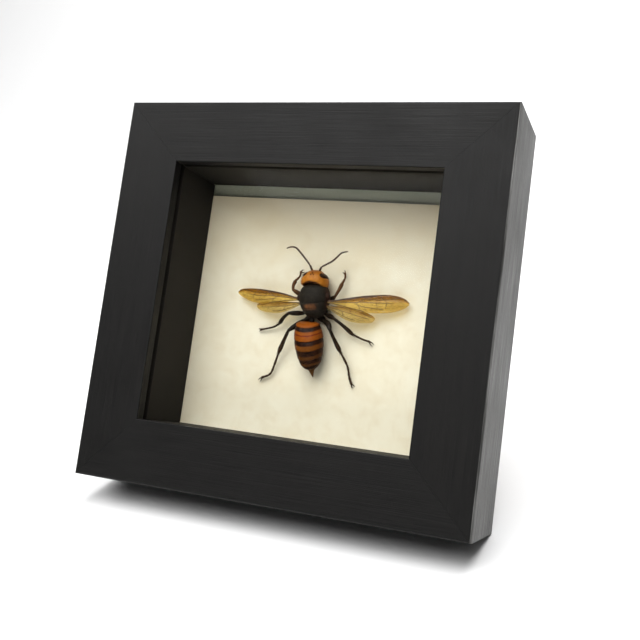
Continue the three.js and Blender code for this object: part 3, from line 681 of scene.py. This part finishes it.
def wing_material(name, clear_tint, brown_share, film_share):
    """Amber film that tints what lies behind, browner along its leading edge, with gleaming creases."""
    material, where = new_material(name, HORNET)
    edge = node(where, "Attribute", attribute_name="chord").outputs["Fac"]
    creases = noise(stretched(where, (0.35, 1.7, 1.0)), 1.0, 5.0, 0.6, 1.0)
    cloud = noise(where, 0.28, 4.0, 0.6, 0.4)
    lead = spread(scaled(cloud, 0.3, edge), 0.28, 0.66, brown_share, 0.0)
    tint = mixed(lead, clear_tint, (0.72, 0.45, 0.14))
    film = ramp(cloud, (0.3, (0.50, 0.29, 0.030)), (0.55, (0.62, 0.39, 0.055)), (0.75, (0.82, 0.58, 0.13)))
    colour = mixed(times(lead, 0.9), film, (0.20, 0.070, 0.010))
    solid = plus(spread(lead, 0.0, 1.0, film_share, 0.66), spread(creases, 0.42, 0.68, -0.12, 0.2), clamp=True)
    clear = node(where, "BsdfTransparent", {"Color": tint}).outputs["BSDF"]
    body = principled(where, colour, 0.25, bump(creases, 0.12, 0.8))
    return surfaced(material, layered(solid, clear, body))


def hair_material(name, root, tip):
    material, where = new_material(name, HORNET)
    colour = ramp(noise(where, 1.4, 3.0), (0.35, root), (0.7, tip))
    return painted(material, colour, 0.6, specular=0.2)


# Insect pieces

def head_surface():
    """The head's skin as rings from its top to its underside, and its two poles."""
    top, bottom = head_point(np.array([[0, 0, 1.0], [0, 0, -1.0]]))
    return [head_point(ring) for ring in sphere(128, 80)], top, bottom


def head_point(n):
    """A point of the head for each direction: round in front, widest behind its middle, hollow at the nape."""
    size = (np.abs(n) ** HEAD_POWER).sum(1) ** (-1 / HEAD_POWER)
    x, y, z = (n * size[:, None]).T
    height = np.where(z < 0, 1 - JAW_TAPER * np.abs(z) ** 1.4, 1 - CROWN_TAPER * np.abs(z) ** 3)
    length = np.where(y < 0, 1 + TEMPLE_FLARE * y * y, 1 - BROW_TAPER * np.abs(y) ** 1.3)
    across = x * height * length
    reached = np.where(y < 0, y * (1 + TEMPLE_REACH * (1 + y)), y)
    along = reached - WIDEST_BACK * (1 - reached * reached)
    hollow = np.where(y < 0, -NAPE_HOLLOW * y * np.maximum(0, 1 - 1.5 * across * across), 0)
    out = np.c_[across, along, z] * HEAD_HALF
    out[:, 1] += hollow
    # Shallow antennal pits, a raised clypeus with a groove round it, and a faint line down the crown
    front = np.clip(y * 1.4, 0, 1)
    for side in (-1, 1):
        pit = np.exp(-((out[:, 0] - side * 1.15) ** 2 + (out[:, 2] - 0.35) ** 2) / 0.5)
        out[:, 1] -= 0.35 * pit * front
    shield = np.hypot(out[:, 0] / 2.4, (out[:, 2] + 2.5) / 2.0)
    out[:, 1] += front * (0.36 / (1 + np.exp((shield - 1.0) * 14)) - 0.16 * bell(shield - 1.02, 0.07))
    crown = np.clip(z * 1.6, 0, 1)
    out[:, 2] -= 0.05 * bell(out[:, 0], 0.12) * crown
    # A dip behind each eye, along its hind rim
    for side in (-1, 1):
        out[:, 2] -= 0.14 * bell(eye_distance(out, side) - 1.06, 0.05) * crown
    return out


def eye_distance(points, side):
    """How far points lie from an eye's middle, as a share of its size."""
    turn = side * EYE_TURN
    x = points[:, 0] - side * EYE_PLACE[0]
    y = points[:, 1] - EYE_PLACE[1]
    along = x * math.cos(turn) - y * math.sin(turn)
    across = x * math.sin(turn) + y * math.cos(turn)
    return np.sqrt((along / EYE_RADII[0]) ** 2 + (across / EYE_RADII[1]) ** 2
                   + ((points[:, 2] - EYE_PLACE[2]) / EYE_RADII[2]) ** 2)


def paint(piece, name, values):
    """Stores one number a point, for the piece's material to read."""
    layer = piece.data.attributes.new(name, "FLOAT", "POINT")
    layer.data.foreach_set("value", np.asarray(values, np.float32))


# Along the thorax from its front: half width, rise, drop and height of the middle of its section
THORAX_STATIONS = np.array([
    [6.5, 2.6, 1.5, 1.7, -0.6], [5.8, 4.2, 2.9, 3.0, -0.3], [4.8, 5.1, 3.75, 3.9, 0], [3.2, 5.75, 4.3, 4.3, 0],
    [1.4, 6.0, 4.55, 4.5, 0], [-0.2, 5.9, 4.45, 4.5, 0], [-1.2, 5.6, 4.15, 4.4, 0], [-2.2, 5.2, 4.0, 4.2, 0],
    [-3.1, 4.75, 3.75, 4.0, 0], [-4.2, 4.15, 3.1, 3.5, 0], [-4.8, 3.7, 2.5, 3.2, -0.1],
    [-5.6, 2.9, 1.7, 2.5, -0.3], [-6.2, 1.9, 1.0, 1.6, -0.6]])
# Grooves across the thorax: place, width, depth and bow
THORAX_GROOVES = ((-1.45, 0.14, 0.42, 0.028), (-3.45, 0.14, 0.40, 0), (-4.45, 0.12, 0.22, 0),
                  (5.35, 0.12, 0.22, 0.028))


def thorax_rings(sides=128, count=90):
    ends = np.array([[6.8, 0.3, 0.2, 0.2, -0.6], *THORAX_STATIONS, [-6.5, 0.3, 0.2, 0.2, -0.8]])
    place = np.linspace(0, 1, len(ends))
    lines = [smooth_values(place, ends[:, k], np.linspace(0, 1, count)) for k in range(5)]
    angle = circle(sides)
    up = np.sin(angle)
    top = np.clip(up * 2.0, 0, 1)
    side = np.clip(1 - np.abs(up) * 1.1, 0, 1)
    made = []
    for y, half, rise, drop, centre in zip(*lines):
        x = -section(np.cos(angle), 2.3) * half
        z = centre + section(up, 2.3) * np.where(up > 0, rise, drop)
        for at, width, depth, bow in THORAX_GROOVES:
            z -= depth * bell(y - at - bow * x * x, width) * top
        # Three lines along the shield, and one along the scutellum
        if -1.2 < y < 4.4:
            fade = min(1, (y + 1.2) / 0.8, (4.4 - y) / 1.4)
            for at, width, depth in ((-2.1, 0.12, 0.09), (2.1, 0.12, 0.09), (0, 0.09, 0.07)):
                z -= depth * fade * bell(x - at, width) * top
        if -3.4 < y < -1.5:
            z -= 0.10 * bell(x, 0.25) * top
        # The seams between the collar and the side plates
        for at, slope in ((3.2, 0.35), (-0.6, -0.25)):
            x -= np.sign(x) * 0.2 * bell(y - at - slope * (z - centre), 0.16) * side
        made.append(np.c_[x, np.full(sides, y), z])
    return made


def smooth_values(at, values, wanted):
    """A smooth curve through values that doesn't overshoot much."""
    slopes = np.gradient(values, at)
    index = np.clip(np.searchsorted(at, wanted, side="right") - 1, 0, len(at) - 2)
    h = at[index + 1] - at[index]
    t = (wanted - at[index]) / h
    a, b = values[index], values[index + 1]
    return ((2 * t ** 3 - 3 * t ** 2 + 1) * a + (t ** 3 - 2 * t ** 2 + t) * h * slopes[index]
            + (-2 * t ** 3 + 3 * t ** 2) * b + (t ** 3 - t ** 2) * h * slopes[index + 1])


# Half width of the gaster at places along it from its front
GASTER_OUTLINE = np.array([
    [0, 0.6], [0.15, 2.2], [0.7, 3.85], [1.85, 4.65], [4.0, 5.27], [6.9, 5.6], [8.8, 5.64], [10.6, 5.45],
    [12.3, 5.12], [13.9, 4.68], [15.0, 4.3], [16.1, 3.75], [16.7, 3.28], [17.2, 2.7], [17.6, 2.05],
    [17.9, 1.42], [18.2, 1.12], [18.8, 0.9], [19.5, 0.6], [20.2, 0.34], [20.85, 0.1]])


def gaster_rings(sides=144):
    """Rings of the gaster from its front, and how far along it each lies."""
    places = [np.linspace(0, TERGITE_EDGES[0], 16)]
    for start, end in zip(TERGITE_EDGES, TERGITE_EDGES[1:]):
        length = min(end, GASTER_END) - start
        places.append(start + np.r_[0.012, 0.05, np.linspace(0.12, length - 0.02, 16)])
    along = np.concatenate(places)
    angle = circle(sides)
    made = []
    for at, radius in zip(along, smooth_values(*GASTER_OUTLINE.T, along)):
        ring = next(k for k, edge in enumerate(TERGITE_EDGES) if at <= edge)
        slight = min(1, radius / 3)
        r = radius + 0.05 * bell(TERGITE_EDGES[ring] - at, 0.25) * slight
        if ring:
            r -= 0.2 * math.exp(-(at - TERGITE_EDGES[ring - 1]) / 0.9) * slight
        x = -section(np.cos(angle), 2.1) * r
        height = section(np.sin(angle), 2.1) * r * GASTER_FLATNESS
        share = at / GASTER_LENGTH
        bend = TIP_BEND * max(0, (share - TIP_START) / (1 - TIP_START)) ** 2
        skew = RING_SKEW[0] + (RING_SKEW[1] - RING_SKEW[0]) * share
        fade = min(1, radius / 2)
        y = -at + fade * (skew * x - RING_LEAN * height + RING_BOW * x * x)
        made.append(np.c_[x + bend, y, height - GASTER_DROOP * share ** 2])
    return made, along


def add_bodies():
    skin = moved(flipped(loft(*head_surface())), *HEAD_AT)
    head = add_insect("head_skin", skin, head_material(), "orange_cuticle", "head")
    eye = eye_material()
    ocelli = joined([ball(OCELLUS_RADII, place, sides=20, rings=10) for place in OCELLUS_PLACES])
    add_insect("ocelli", moved(ocelli, *HEAD_AT), eye, "eye", "head")
    for letter, side in SIDES:
        bead = ball(EYE_RADII, (side * EYE_PLACE[0], *EYE_PLACE[1:]), -side * EYE_TURN, 64, 40)
        add_insect(f"compound_eye_{letter}", moved(bead, *HEAD_AT), eye, "eye", f"eye_{letter}")
    rings = thorax_rings()
    skin = moved(loft(rings, rings[0].mean(0), rings[-1].mean(0)), *THORAX_AT)
    thorax = add_insect("thorax_skin", skin, thorax_material(), "dark_cuticle", "thorax")
    tones = [(0.010, 0.0045, 0.003), (0.022, 0.008, 0.004), (0.045, 0.015, 0.006)]
    chestnut = plain_cuticle("tegula_cuticle", tones, 0.5, specular=0.12)
    caps = joined([ball(TEGULA_RADII, (side * TEGULA_PLACE[0], *TEGULA_PLACE[1:]), sides=40, rings=24)
                   for side in (-1, 1)])
    add_insect("tegulae", moved(caps, *THORAX_AT), chestnut, "dark_cuticle", "thorax")
    tones = [(0.006, 0.004, 0.003), (0.010, 0.007, 0.005), (0.018, 0.012, 0.008)]
    dark = plain_cuticle("petiole_cuticle", tones, 0.6, specular=0.08)
    neck = ball(PETIOLE_RADII, PETIOLE_PLACE, sides=40, rings=24)
    add_insect("petiole_skin", neck, dark, "dark_cuticle", "petiole")
    rings, along = gaster_rings()
    skin = moved(loft(rings, (0, 0.02, 0), (TIP_BEND, -GASTER_LENGTH, -GASTER_DROOP)), *GASTER_AT)
    gaster = add_insect("gaster_skin", skin, gaster_material(), "banded_cuticle", "gaster")
    paint(gaster, "ring", np.r_[np.repeat(along, len(rings[0])), 0, GASTER_LENGTH])
    return head, thorax, gaster


MANDIBLE_PATH = [(2.3, 1.2, -3.3), (2.35, 1.9, -4.2), (1.4, 2.6, -4.9), (0.4, 2.9, -5.2)]


def add_mandibles():
    material = plain_cuticle(
        "mandible", [(0.012, 0.005, 0.003), (0.035, 0.011, 0.005), (0.11, 0.030, 0.008)], 0.28, coat=0.3)
    for letter, side in SIDES:
        path = [(side * x, y, z) for x, y, z in MANDIBLE_PATH]
        skin = moved(tube(path, [(0, 0.75), (0.6, 0.6), (1, 0.28)], 28, 30, 0.8), *HEAD_AT)
        add_insect(f"jaw_{letter}", skin, material, "mandible", f"mandible_{letter}")


ANTENNA_PATHS = {
    "L": [(-0.55, 14.2, 6.3), (-1.5, 15.6, 7.0), (-1.9, 16.6, 7.6), (-4.4, 19.5, 8.5), (-6.8, 21.8, 8.5),
          (-8.8, 23.2, 8.0), (-11.1, 23.4, 7.5), (-12.8, 22.9, 7.0)],
    "R": [(1.25, 14.2, 6.3), (2.0, 15.4, 7.0), (2.6, 16.3, 7.6), (4.5, 17.3, 8.3), (6.8, 18.6, 8.5),
          (8.6, 20.3, 8.5), (10.1, 22.2, 8.0), (12.1, 23.1, 7.0)],
}
FLAGELLUM_START = 0.22
FLAGELLUM_RINGS = 10


def antenna_ripple(share):
    """Slight waists between the joints of the flagellum."""
    phase = (share - FLAGELLUM_START) / (1 - FLAGELLUM_START) * FLAGELLUM_RINGS
    waist = bell(phase - np.round(phase), 0.09)
    return 1 - np.where(share > FLAGELLUM_START - 0.02, 0.2 * waist, 0)


def add_antennae():
    material = plain_cuticle(
        "antenna", [(0.030, 0.012, 0.006), (0.060, 0.024, 0.009), (0.095, 0.040, 0.014)], 0.5, 6.0)
    radii = [(0, 0.36), (0.1, 0.42), (0.18, 0.4), (0.205, 0.24), (0.23, 0.34), (0.6, 0.37), (0.9, 0.3),
             (1, 0.2)]
    for letter, path in ANTENNA_PATHS.items():
        skin = tube(path, radii, 20, 240, ripple=antenna_ripple)
        add_insect(f"feeler_{letter}", skin, material, "antenna", f"antenna_{letter}")


# Each leg's size, and the points it passes: hip, thigh, shin from knee to ankle, foot, and where its claws end
LEGS = {
    "fore_L": (1.0, [(-1.6, 6.6, 2.9), (-4.6, 5.2, 3.2)], [],
        [(-8.8, 7.4, 5.0), (-9.2, 9.2, 4.2), (-8.9, 11.2, 3.4)],
        [(-7.9, 13.3, 2.2), (-8.1, 15.1, 1.4)], (-6.9, 15.6, 0.9)),
    "fore_R": (1.0, [(3.4, 6.2, 2.9), (6.0, 4.6, 3.2)], [],
        [(8.6, 6.0, 5.0), (9.6, 8.8, 4.3), (10.3, 11.6, 3.4)],
        [(10.7, 14.0, 2.4), (10.2, 15.7, 1.8)], (9.2, 16.6, 1.0)),
    "mid_L": (1.05, [(-1.4, 1.6, 2.1), (-4.4, -1.0, 2.6)], [],
        [(-9.1, -1.8, 5.4), (-11.4, -3.6, 4.4), (-13.3, -5.7, 3.0)],
        [(-15.7, -7.1, 2.0), (-19.0, -8.1, 1.5), (-21.6, -8.7, 1.2)], (-22.7, -9.0, 0.8)),
    "mid_R": (1.05, [(3.1, 1.6, 2.1), (5.6, -0.7, 2.6)], [],
        [(9.4, -2.2, 5.4), (13.2, -4.6, 4.4), (16.8, -7.3, 3.0)],
        [(20.7, -8.7, 2.0), (23.1, -9.2, 1.5)], (24.6, -10.5, 0.8)),
    "hind_L": (1.15, [(-0.6, -1.7, 2.1), (-3.4, -3.7, 2.4)], [(-5.9, -5.9, 3.6)],
        [(-8.0, -8.4, 5.8), (-9.9, -12.4, 4.6), (-11.9, -16.8, 3.2)],
        [(-13.5, -21.6, 2.0), (-15.0, -25.4, 1.5), (-18.4, -27.2, 1.2)], (-19.6, -28.6, 0.8)),
    "hind_R": (1.15, [(2.6, -1.8, 2.1), (4.9, -3.4, 2.5)], [(7.3, -4.6, 4.6)],
        [(8.9, -6.9, 6.2), (10.9, -10.6, 4.9), (12.8, -14.1, 3.2)],
        [(16.1, -19.4, 2.0), (17.2, -23.5, 1.4), (18.2, -25.6, 1.2)], (19.1, -26.8, 0.8)),
}
TARSUS_JOINTS = np.array((0.0, 0.42, 0.60, 0.75, 0.87, 1.0))
# Radii along the joints of a leg of size 1, as (share of length, radius) pairs
COXA_RADII = ((0, 1.1), (0.6, 1.0), (0.85, 0.72), (1, 0.72))
FEMUR_RADII = ((0, 0.6), (0.08, 0.78), (0.35, 0.96), (0.75, 0.82), (1, 0.5))
TIBIA_RADII = ((0, 0.44), (0.1, 0.54), (0.45, 0.6), (0.8, 0.76), (0.93, 0.7), (1, 0.5))
TARSUS_RADII = ((0, 0.42), (0.42, 0.40), (0.8, 0.40), (1, 0.46))


def tarsus_ripple(share):
    """Each of the five joints of the foot widens to its end, then narrows sharply."""
    joint = np.clip(np.searchsorted(TARSUS_JOINTS, share, side="right") - 1, 0, 4)
    local = (share - TARSUS_JOINTS[joint]) / (TARSUS_JOINTS[joint + 1] - TARSUS_JOINTS[joint])
    return 0.78 + 0.3 * local ** 1.5 - 0.25 * bell(1 - local, 0.06)


def leg_parts(size, hip, thigh, shin, foot, claw):
    def limb(path, radii, sides, rings, ripple=None):
        return tube(path, [(at, radius * size) for at, radius in radii], sides, rings, ripple=ripple)
    parts = [
        limb(hip, COXA_RADII, 28, 24),
        limb([hip[1], *thigh, shin[0]], FEMUR_RADII, 24, 40),
        limb(shin, TIBIA_RADII, 24, 44),
        limb([shin[-1], *foot], TARSUS_RADII, 18, 90, tarsus_ripple),
    ]
    end = np.array(foot[-1])
    stride = np.array(claw) - end
    across = np.array((-stride[1], stride[0], 0)) / np.hypot(stride[0], stride[1])
    for side in (-1, 1):
        reach = end + stride * 0.6 + across * side * 0.5 + (0, 0, 0.05)
        hook = end + stride * 1.0 + across * side * 0.42 - (0, 0, 0.1)
        parts.append(tube([end, reach, hook], [(0, 0.26), (0.5, 0.19), (1, 0.06)], 10, 14))
    ankle = np.array(shin[-1])
    ahead = np.array(foot[0]) - ankle
    ahead = ahead / np.linalg.norm(ahead)
    slant = np.cross(ahead, (0, 0, 1.0))
    for side in (-1, 1):
        spur = [ankle + ahead * out + slant * side * aside
                for out, aside in ((0, 0.3), (0.8, 0.62), (1.5, 0.72))]
        parts.append(tube(spur, [(0, 0.12), (1, 0.03)], 8, 10))
    return parts


def add_legs():
    black = [(0.0070, 0.0040, 0.0020), (0.012, 0.0065, 0.0030), (0.026, 0.013, 0.005)]
    hind = plain_cuticle("hind_leg", black, 0.42, foot=((0.045, 0.022, 0.010), 14, 24), specular=0.12)
    fore = plain_cuticle("fore_leg", black, 0.42, foot=((0.105, 0.040, 0.011), 7.0, 9.5), specular=0.12)
    return [add_insect(f"limb_{name}", joined(leg_parts(*leg)), fore if name.startswith("fore") else hind,
                       "leg_cuticle", f"leg_{name}") for name, leg in LEGS.items()]


# Each wing's leading and trailing edge, from its root to its tip
WING_EDGES = {
    "forewing_L": (
        [(-3.8, 3.9, 7.6), (-6.3, 4.3, 7.5), (-11.1, 5.4, 7.2), (-20.8, 6.5, 5.8), (-28.4, 6.6, 4.0),
         (-31.6, 6.1, 3.2), (-32.9, 5.2, 2.8)],
        [(-3.8, 3.1, 7.5), (-6.3, 2.9, 7.4), (-14.8, 1.5, 6.4), (-23.1, 1.1, 5.0), (-28.4, 2.4, 3.8),
         (-31.4, 3.6, 3.0), (-32.8, 4.6, 2.7)]),
    "forewing_R": (
        [(6.2, 3.8, 7.6), (8.8, 4.2, 7.5), (15.1, 5.8, 7.0), (21.8, 7.3, 6.0), (30.3, 8.4, 4.2),
         (35.2, 7.6, 3.1), (37.0, 6.2, 2.7)],
        [(6.2, 3.0, 7.5), (8.8, 2.8, 7.4), (15.6, 1.5, 6.7), (22.8, 0.9, 5.4), (31.6, 2.2, 3.7),
         (35.8, 4.2, 2.9), (37.0, 5.5, 2.6)]),
    "hindwing_L": (
        [(-3.8, 2.6, 6.6), (-11.0, 2.4, 6.0), (-17.5, 2.1, 5.1), (-22.4, 1.4, 3.9), (-23.6, 0.6, 3.6)],
        [(-3.8, 1.8, 6.5), (-12.1, -1.8, 5.5), (-19.8, -1.9, 4.1), (-22.9, -0.9, 3.6), (-23.7, 0.0, 3.5)]),
    "hindwing_R": (
        [(6.2, 2.3, 6.6), (13.0, 2.4, 6.1), (19.5, 1.7, 4.9), (23.9, 0.2, 3.8), (24.9, -0.7, 3.6)],
        [(6.2, 1.5, 6.5), (15.0, -2.6, 5.6), (21.4, -2.9, 4.2), (24.1, -2.2, 3.7), (24.9, -1.3, 3.5)]),
}
# Veins as (span share, chord share) points with a width in millimetres
FOREWING_VEINS = [
    ([(0.0, 0.10), (0.3, 0.05), (0.62, 0.03)], 0.30), ([(0.0, 0.2), (0.3, 0.13), (0.6, 0.08)], 0.2),
    ([(0.62, 0.03), (0.8, 0.05), (0.95, 0.13)], 0.13), ([(0.02, 0.45), (0.2, 0.42), (0.38, 0.42)], 0.17),
    ([(0.02, 0.78), (0.25, 0.84), (0.46, 0.92)], 0.14), ([(0.38, 0.42), (0.46, 0.2), (0.53, 0.06)], 0.13),
    ([(0.36, 0.42), (0.4, 0.66), (0.42, 0.88)], 0.11), ([(0.40, 0.62), (0.55, 0.72), (0.68, 0.8)], 0.1),
    ([(0.4, 0.36), (0.6, 0.44), (0.8, 0.5)], 0.11),
    ([(0.47, 0.2), (0.64, 0.28), (0.76, 0.26), (0.88, 0.1)], 0.11), ([(0.6, 0.44), (0.62, 0.76)], 0.09),
    ([(0.72, 0.48), (0.71, 0.78)], 0.09), ([(0.61, 0.27), (0.6, 0.44)], 0.09),
    ([(0.7, 0.28), (0.72, 0.48)], 0.09), ([(0.65, 0.05), (0.68, 0.28)], 0.1),
]
HINDWING_VEINS = [
    ([(0.0, 0.14), (0.3, 0.10), (0.55, 0.08), (0.9, 0.3)], 0.15),
    ([(0.02, 0.45), (0.5, 0.42), (0.86, 0.55)], 0.11), ([(0.02, 0.75), (0.3, 0.78), (0.6, 0.84)], 0.1),
    ([(0.5, 0.42), (0.48, 0.09)], 0.09),
    ([(0.34, 0.43), (0.38, 0.79)], 0.09),
]
MEMBRANE_HALF = 0.05
PATH_POINTS = 200


def wing_point(edges, s, t):
    """Points of a wing by the share of its span and, from its leading edge, of its chord."""
    index = np.asarray(s) * (PATH_POINTS - 1)
    lead, trail = (
        np.stack([np.interp(index, np.arange(PATH_POINTS), values) for values in line.T], -1)
        for line in (smooth_path(edge, PATH_POINTS) for edge in edges))
    middle = lead + (trail - lead) * np.asarray(t)[..., None]
    middle[..., 2] += wing_crease(s, t)
    return middle


def wing_crease(s, t):
    """Lengthwise folds between the veins, flat at the root and the tip."""
    folds = 0.16 * np.sin(t * 11.0 + s * 2.0) + 0.08 * np.sin(t * 23.0 + 1.0 + s * 5.0)
    return folds * np.sin(math.pi * np.clip(s, 0, 1)) ** 0.7 * np.clip(t * 6, 0, 1)


def wing_membrane(edges, along=110, across=44):
    """A wing's thin closed sheet, and each point's share of the chord."""
    s, t = np.meshgrid(np.linspace(0, 1, along + 1), np.linspace(0, 1, across + 1), indexing="ij")
    middle = wing_point(edges, s, t)
    points = np.vstack([(middle + (0, 0, side * MEMBRANE_HALF)).reshape(-1, 3) for side in (1, -1)])
    index = np.arange(s.size).reshape(s.shape)
    corners = np.stack([index[:-1, :-1], index[1:, :-1], index[1:, 1:], index[:-1, 1:]], -1).reshape(-1, 4)
    faces = [face for front in corners for face in (front, front[[0, 3, 2, 1]] + s.size)]
    rim = np.concatenate([index[:, 0], index[-1, 1:], index[-2::-1, -1], index[0, -2:0:-1]])
    faces += [(a, a + s.size, b + s.size, b) for a, b in zip(rim, np.roll(rim, -1))]
    return points, faces, np.tile(t.reshape(-1), 2)


def add_wings():
    films = {"fore": wing_material("forewing_membrane", (0.91, 0.80, 0.47), 1.0, 0.22),
             "hind": wing_material("hindwing_membrane", (0.93, 0.86, 0.62), 0.55, 0.16)}
    vein_look = plain_cuticle(
        "wing_vein", [(0.030, 0.010, 0.004), (0.060, 0.021, 0.006), (0.11, 0.042, 0.010)], 0.4, 5.0, 0.01)
    for name, edges in WING_EDGES.items():
        pair = name[:4]
        points, faces, chord = wing_membrane(edges)
        skin = flipped((points, faces)) if name.endswith("_L") else (points, faces)
        paint(add_insect(f"membrane_{name}", skin, films[pair], "wing_membrane", name), "chord", chord)
        parts = []
        for path, width in FOREWING_VEINS if pair == "fore" else HINDWING_VEINS:
            s, t = (np.interp(np.linspace(0, 1, 24), np.linspace(0, 1, len(path)), v) for v in zip(*path))
            radii = [(0, width / 2 + 0.06), (1, width / 2 + 0.04)]
            parts.append(tube(wing_point(edges, s, t), radii, 10, 30))
        add_insect(f"veins_{name}", joined(parts), vein_look, "wing_membrane", name)


# Hairs: thin solid spikes rooted in a skin, each with its own patch of the OFBake map

ROOT_ANGLES = (0, 2.094, 4.189)
ROOT_SINK = 0.04
SPIKE_FACES = ((0, 1, 3), (1, 2, 3), (2, 0, 3), (0, 2, 1))
SPIKE_PATCH = np.array([(0, 0), (0.003, 0), (0, 0.003), (0.0015, 0.0015)])


def unit(vectors, least=1e-6):
    return vectors / np.maximum(np.linalg.norm(vectors, axis=1), least)[:, None]


def read(items, name, kind, width):
    values = np.empty(len(items) * width, kind)
    items.foreach_get(name, values)
    return values.reshape(-1, width)


def add_hairs(name, slot, replaced, skin, count, length, lie, material, radius, keep=None,
              upright=0.55):
    mesh = skin.data
    mesh.calc_loop_triangles()
    inverse = np.array(HORNET.inverted())
    points = read(mesh.vertices, "co", float, 3) @ inverse[:3, :3].T + inverse[:3, 3]
    a, b, c = points[read(mesh.loop_triangles, "vertices", int, 3).T]
    normals = np.cross(b - a, c - a)
    weight = np.linalg.norm(normals, axis=1)
    if keep:
        weight = weight * keep((a + b + c) / 3)
    pick = rng.choice(len(weight), count, p=weight / weight.sum())
    u, v = rng.random((2, count, 1))
    fold = (u + v) > 1
    u, v = np.where(fold, 1 - u, u), np.where(fold, 1 - v, v)
    roots = a[pick] + (b[pick] - a[pick]) * u + (c[pick] - a[pick]) * v
    out = unit(normals, 1e-12)[pick]
    lie = np.array(lie, float)
    drift = unit(lie - out * (out @ lie)[:, None])
    aim = unit(out * upright + drift * (1 - upright) + rng.normal(0, 0.18, (count, 3)))
    sizes = length * rng.uniform(0.6, 1.25, (count, 1))
    across = unit(np.cross(aim, out + rng.normal(0, 0.3, (count, 3))))
    other = np.cross(aim, across)
    base = roots - out * ROOT_SINK
    ring = [base + (across * math.cos(k) + other * math.sin(k)) * radius for k in ROOT_ANGLES]
    tips = roots + aim * sizes + (out * -0.12 + drift * 0.12) * sizes
    points = np.stack([*ring, tips], 1).reshape(-1, 3)
    index = np.arange(count)[:, None] * 4
    faces = np.concatenate([index + face for face in SPIKE_FACES], 0).tolist()
    piece = add_insect(name, (points, faces), material, slot, replaced)
    layer = piece.data.uv_layers.new(name="OFBake")
    low, high = roots.min(0), roots.max(0)
    around = np.arctan2(out[:, 2], out[:, 0]) / (2 * math.pi) + 0.5
    place = np.c_[around, (roots[:, 1] - low[1]) / (high[1] - low[1])] * 0.98 + 0.01
    loops = read(piece.data.loops, "vertex_index", int, 1)[:, 0]
    layer.data.foreach_set("uv", (place[loops // 4] + SPIKE_PATCH[loops % 4]).reshape(-1))


def towards_rear(places):
    """More hair towards the gaster's tip."""
    return np.clip((-places[:, 1] - 12) / 10, 0.12, 1) ** 1.5


def add_coat(head, thorax, gaster, legs):
    tawny = hair_material("tawny_hair", (0.13, 0.050, 0.014), (0.26, 0.12, 0.035))
    dusky = hair_material("dusky_hair", (0.010, 0.006, 0.003), (0.036, 0.020, 0.009))
    olive = hair_material("olive_hair", (0.016, 0.012, 0.007), (0.085, 0.066, 0.036))
    add_hairs("head_hair", "orange_cuticle", "head", head, 2600, 0.42, (0, -0.3, 0.4), tawny, 0.018)
    add_hairs("thorax_hair", "dark_cuticle", "thorax", thorax, 9000, 0.8, (0, -1, 0.2), olive, 0.02)
    add_hairs("gaster_hair", "banded_cuticle", "gaster", gaster, 3600, 0.45, (0, -1, 0), tawny, 0.018,
              towards_rear, 0.3)
    for leg in legs:
        name = leg.name.replace("limb_", "")
        add_hairs(f"hair_{name}", "leg_cuticle", f"leg_{name}", leg, 900, 0.32, (0, -0.4, -0.2), dusky, 0.016,
                  upright=0.45)


head, thorax, gaster = add_bodies()
add_mandibles()
add_antennae()
limbs = add_legs()
add_wings()
add_coat(head, thorax, gaster, limbs)
glue_tones = [(0.55, 0.48, 0.32), (0.68, 0.60, 0.42), (0.78, 0.72, 0.55)]
dress("mounting_pad", plain_cuticle("glue", glue_tones, 0.3))


# Scene: floor, light and camera

def add_stage():
    """A pale floor that sweeps up behind the specimen."""
    flat, radius, top, half = 0.5, 0.6, 2.2, 3.0
    profile = [(-2.5, 0.0), (flat, 0.0)]
    for angle in np.radians(np.linspace(6, 90, 15)):
        profile.append((flat + radius * math.sin(angle), radius * (1 - math.cos(angle))))
    profile.append((flat + radius, top))
    points = [(side * half, y, z - 0.0002) for y, z in profile for side in (-1, 1)]
    faces = [(2 * k, 2 * k + 1, 2 * k + 3, 2 * k + 2) for k in range(len(profile) - 1)]
    mesh = bpy.data.meshes.new("floor")
    mesh.from_pydata(points, [], faces)
    mesh.polygons.foreach_set("use_smooth", [True] * len(faces))
    mesh.materials.append(painted(new_material("pale_floor", CASE)[0], (0.80, 0.80, 0.80), 0.7))
    floor = linked("floor", mesh)


def area_light(name, place, target, size, power):
    data = bpy.data.lights.new(name, "AREA")
    data.shape = "DISK"
    data.size = size
    data.energy = power
    light = linked(name, data)
    light.location = place
    light.rotation_euler = (Vector(target) - Vector(place)).to_track_quat("-Z", "Y").to_euler()


def add_light():
    world = bpy.data.worlds.new("studio")
    world.use_nodes = True
    background = world.node_tree.nodes["Background"].inputs
    background["Color"].default_value = (1.0, 1.0, 1.0, 1)
    background["Strength"].default_value = 0.14
    bpy.context.scene.world = world
    area_light("key", (-0.14, -0.69, 1.07), (0, 0, 0.08), 1.2, 20)
    area_light("fill", (-0.95, -0.35, 0.85), (0, 0, 0.08), 0.6, 4.5)
    area_light("back", (0.1, 0.30, 1.5), (0.0, 0.8, 0.3), 1.3, 22)


def add_camera():
    data = bpy.data.cameras.new("photo_view")
    data.sensor_width = 36
    data.lens = CAMERA_LENS_MM
    data.clip_start = 0.01
    camera = linked("photo_view", data)
    camera.location = Vector(CAMERA_MM) * MM
    camera.rotation_euler = (math.radians(90 + CAMERA_PITCH_DEG), 0, math.radians(CAMERA_AZIMUTH_DEG))
    bpy.context.scene.camera = camera


add_stage()
add_light()
add_camera()
bpy.context.scene.view_settings.view_transform = "Standard"
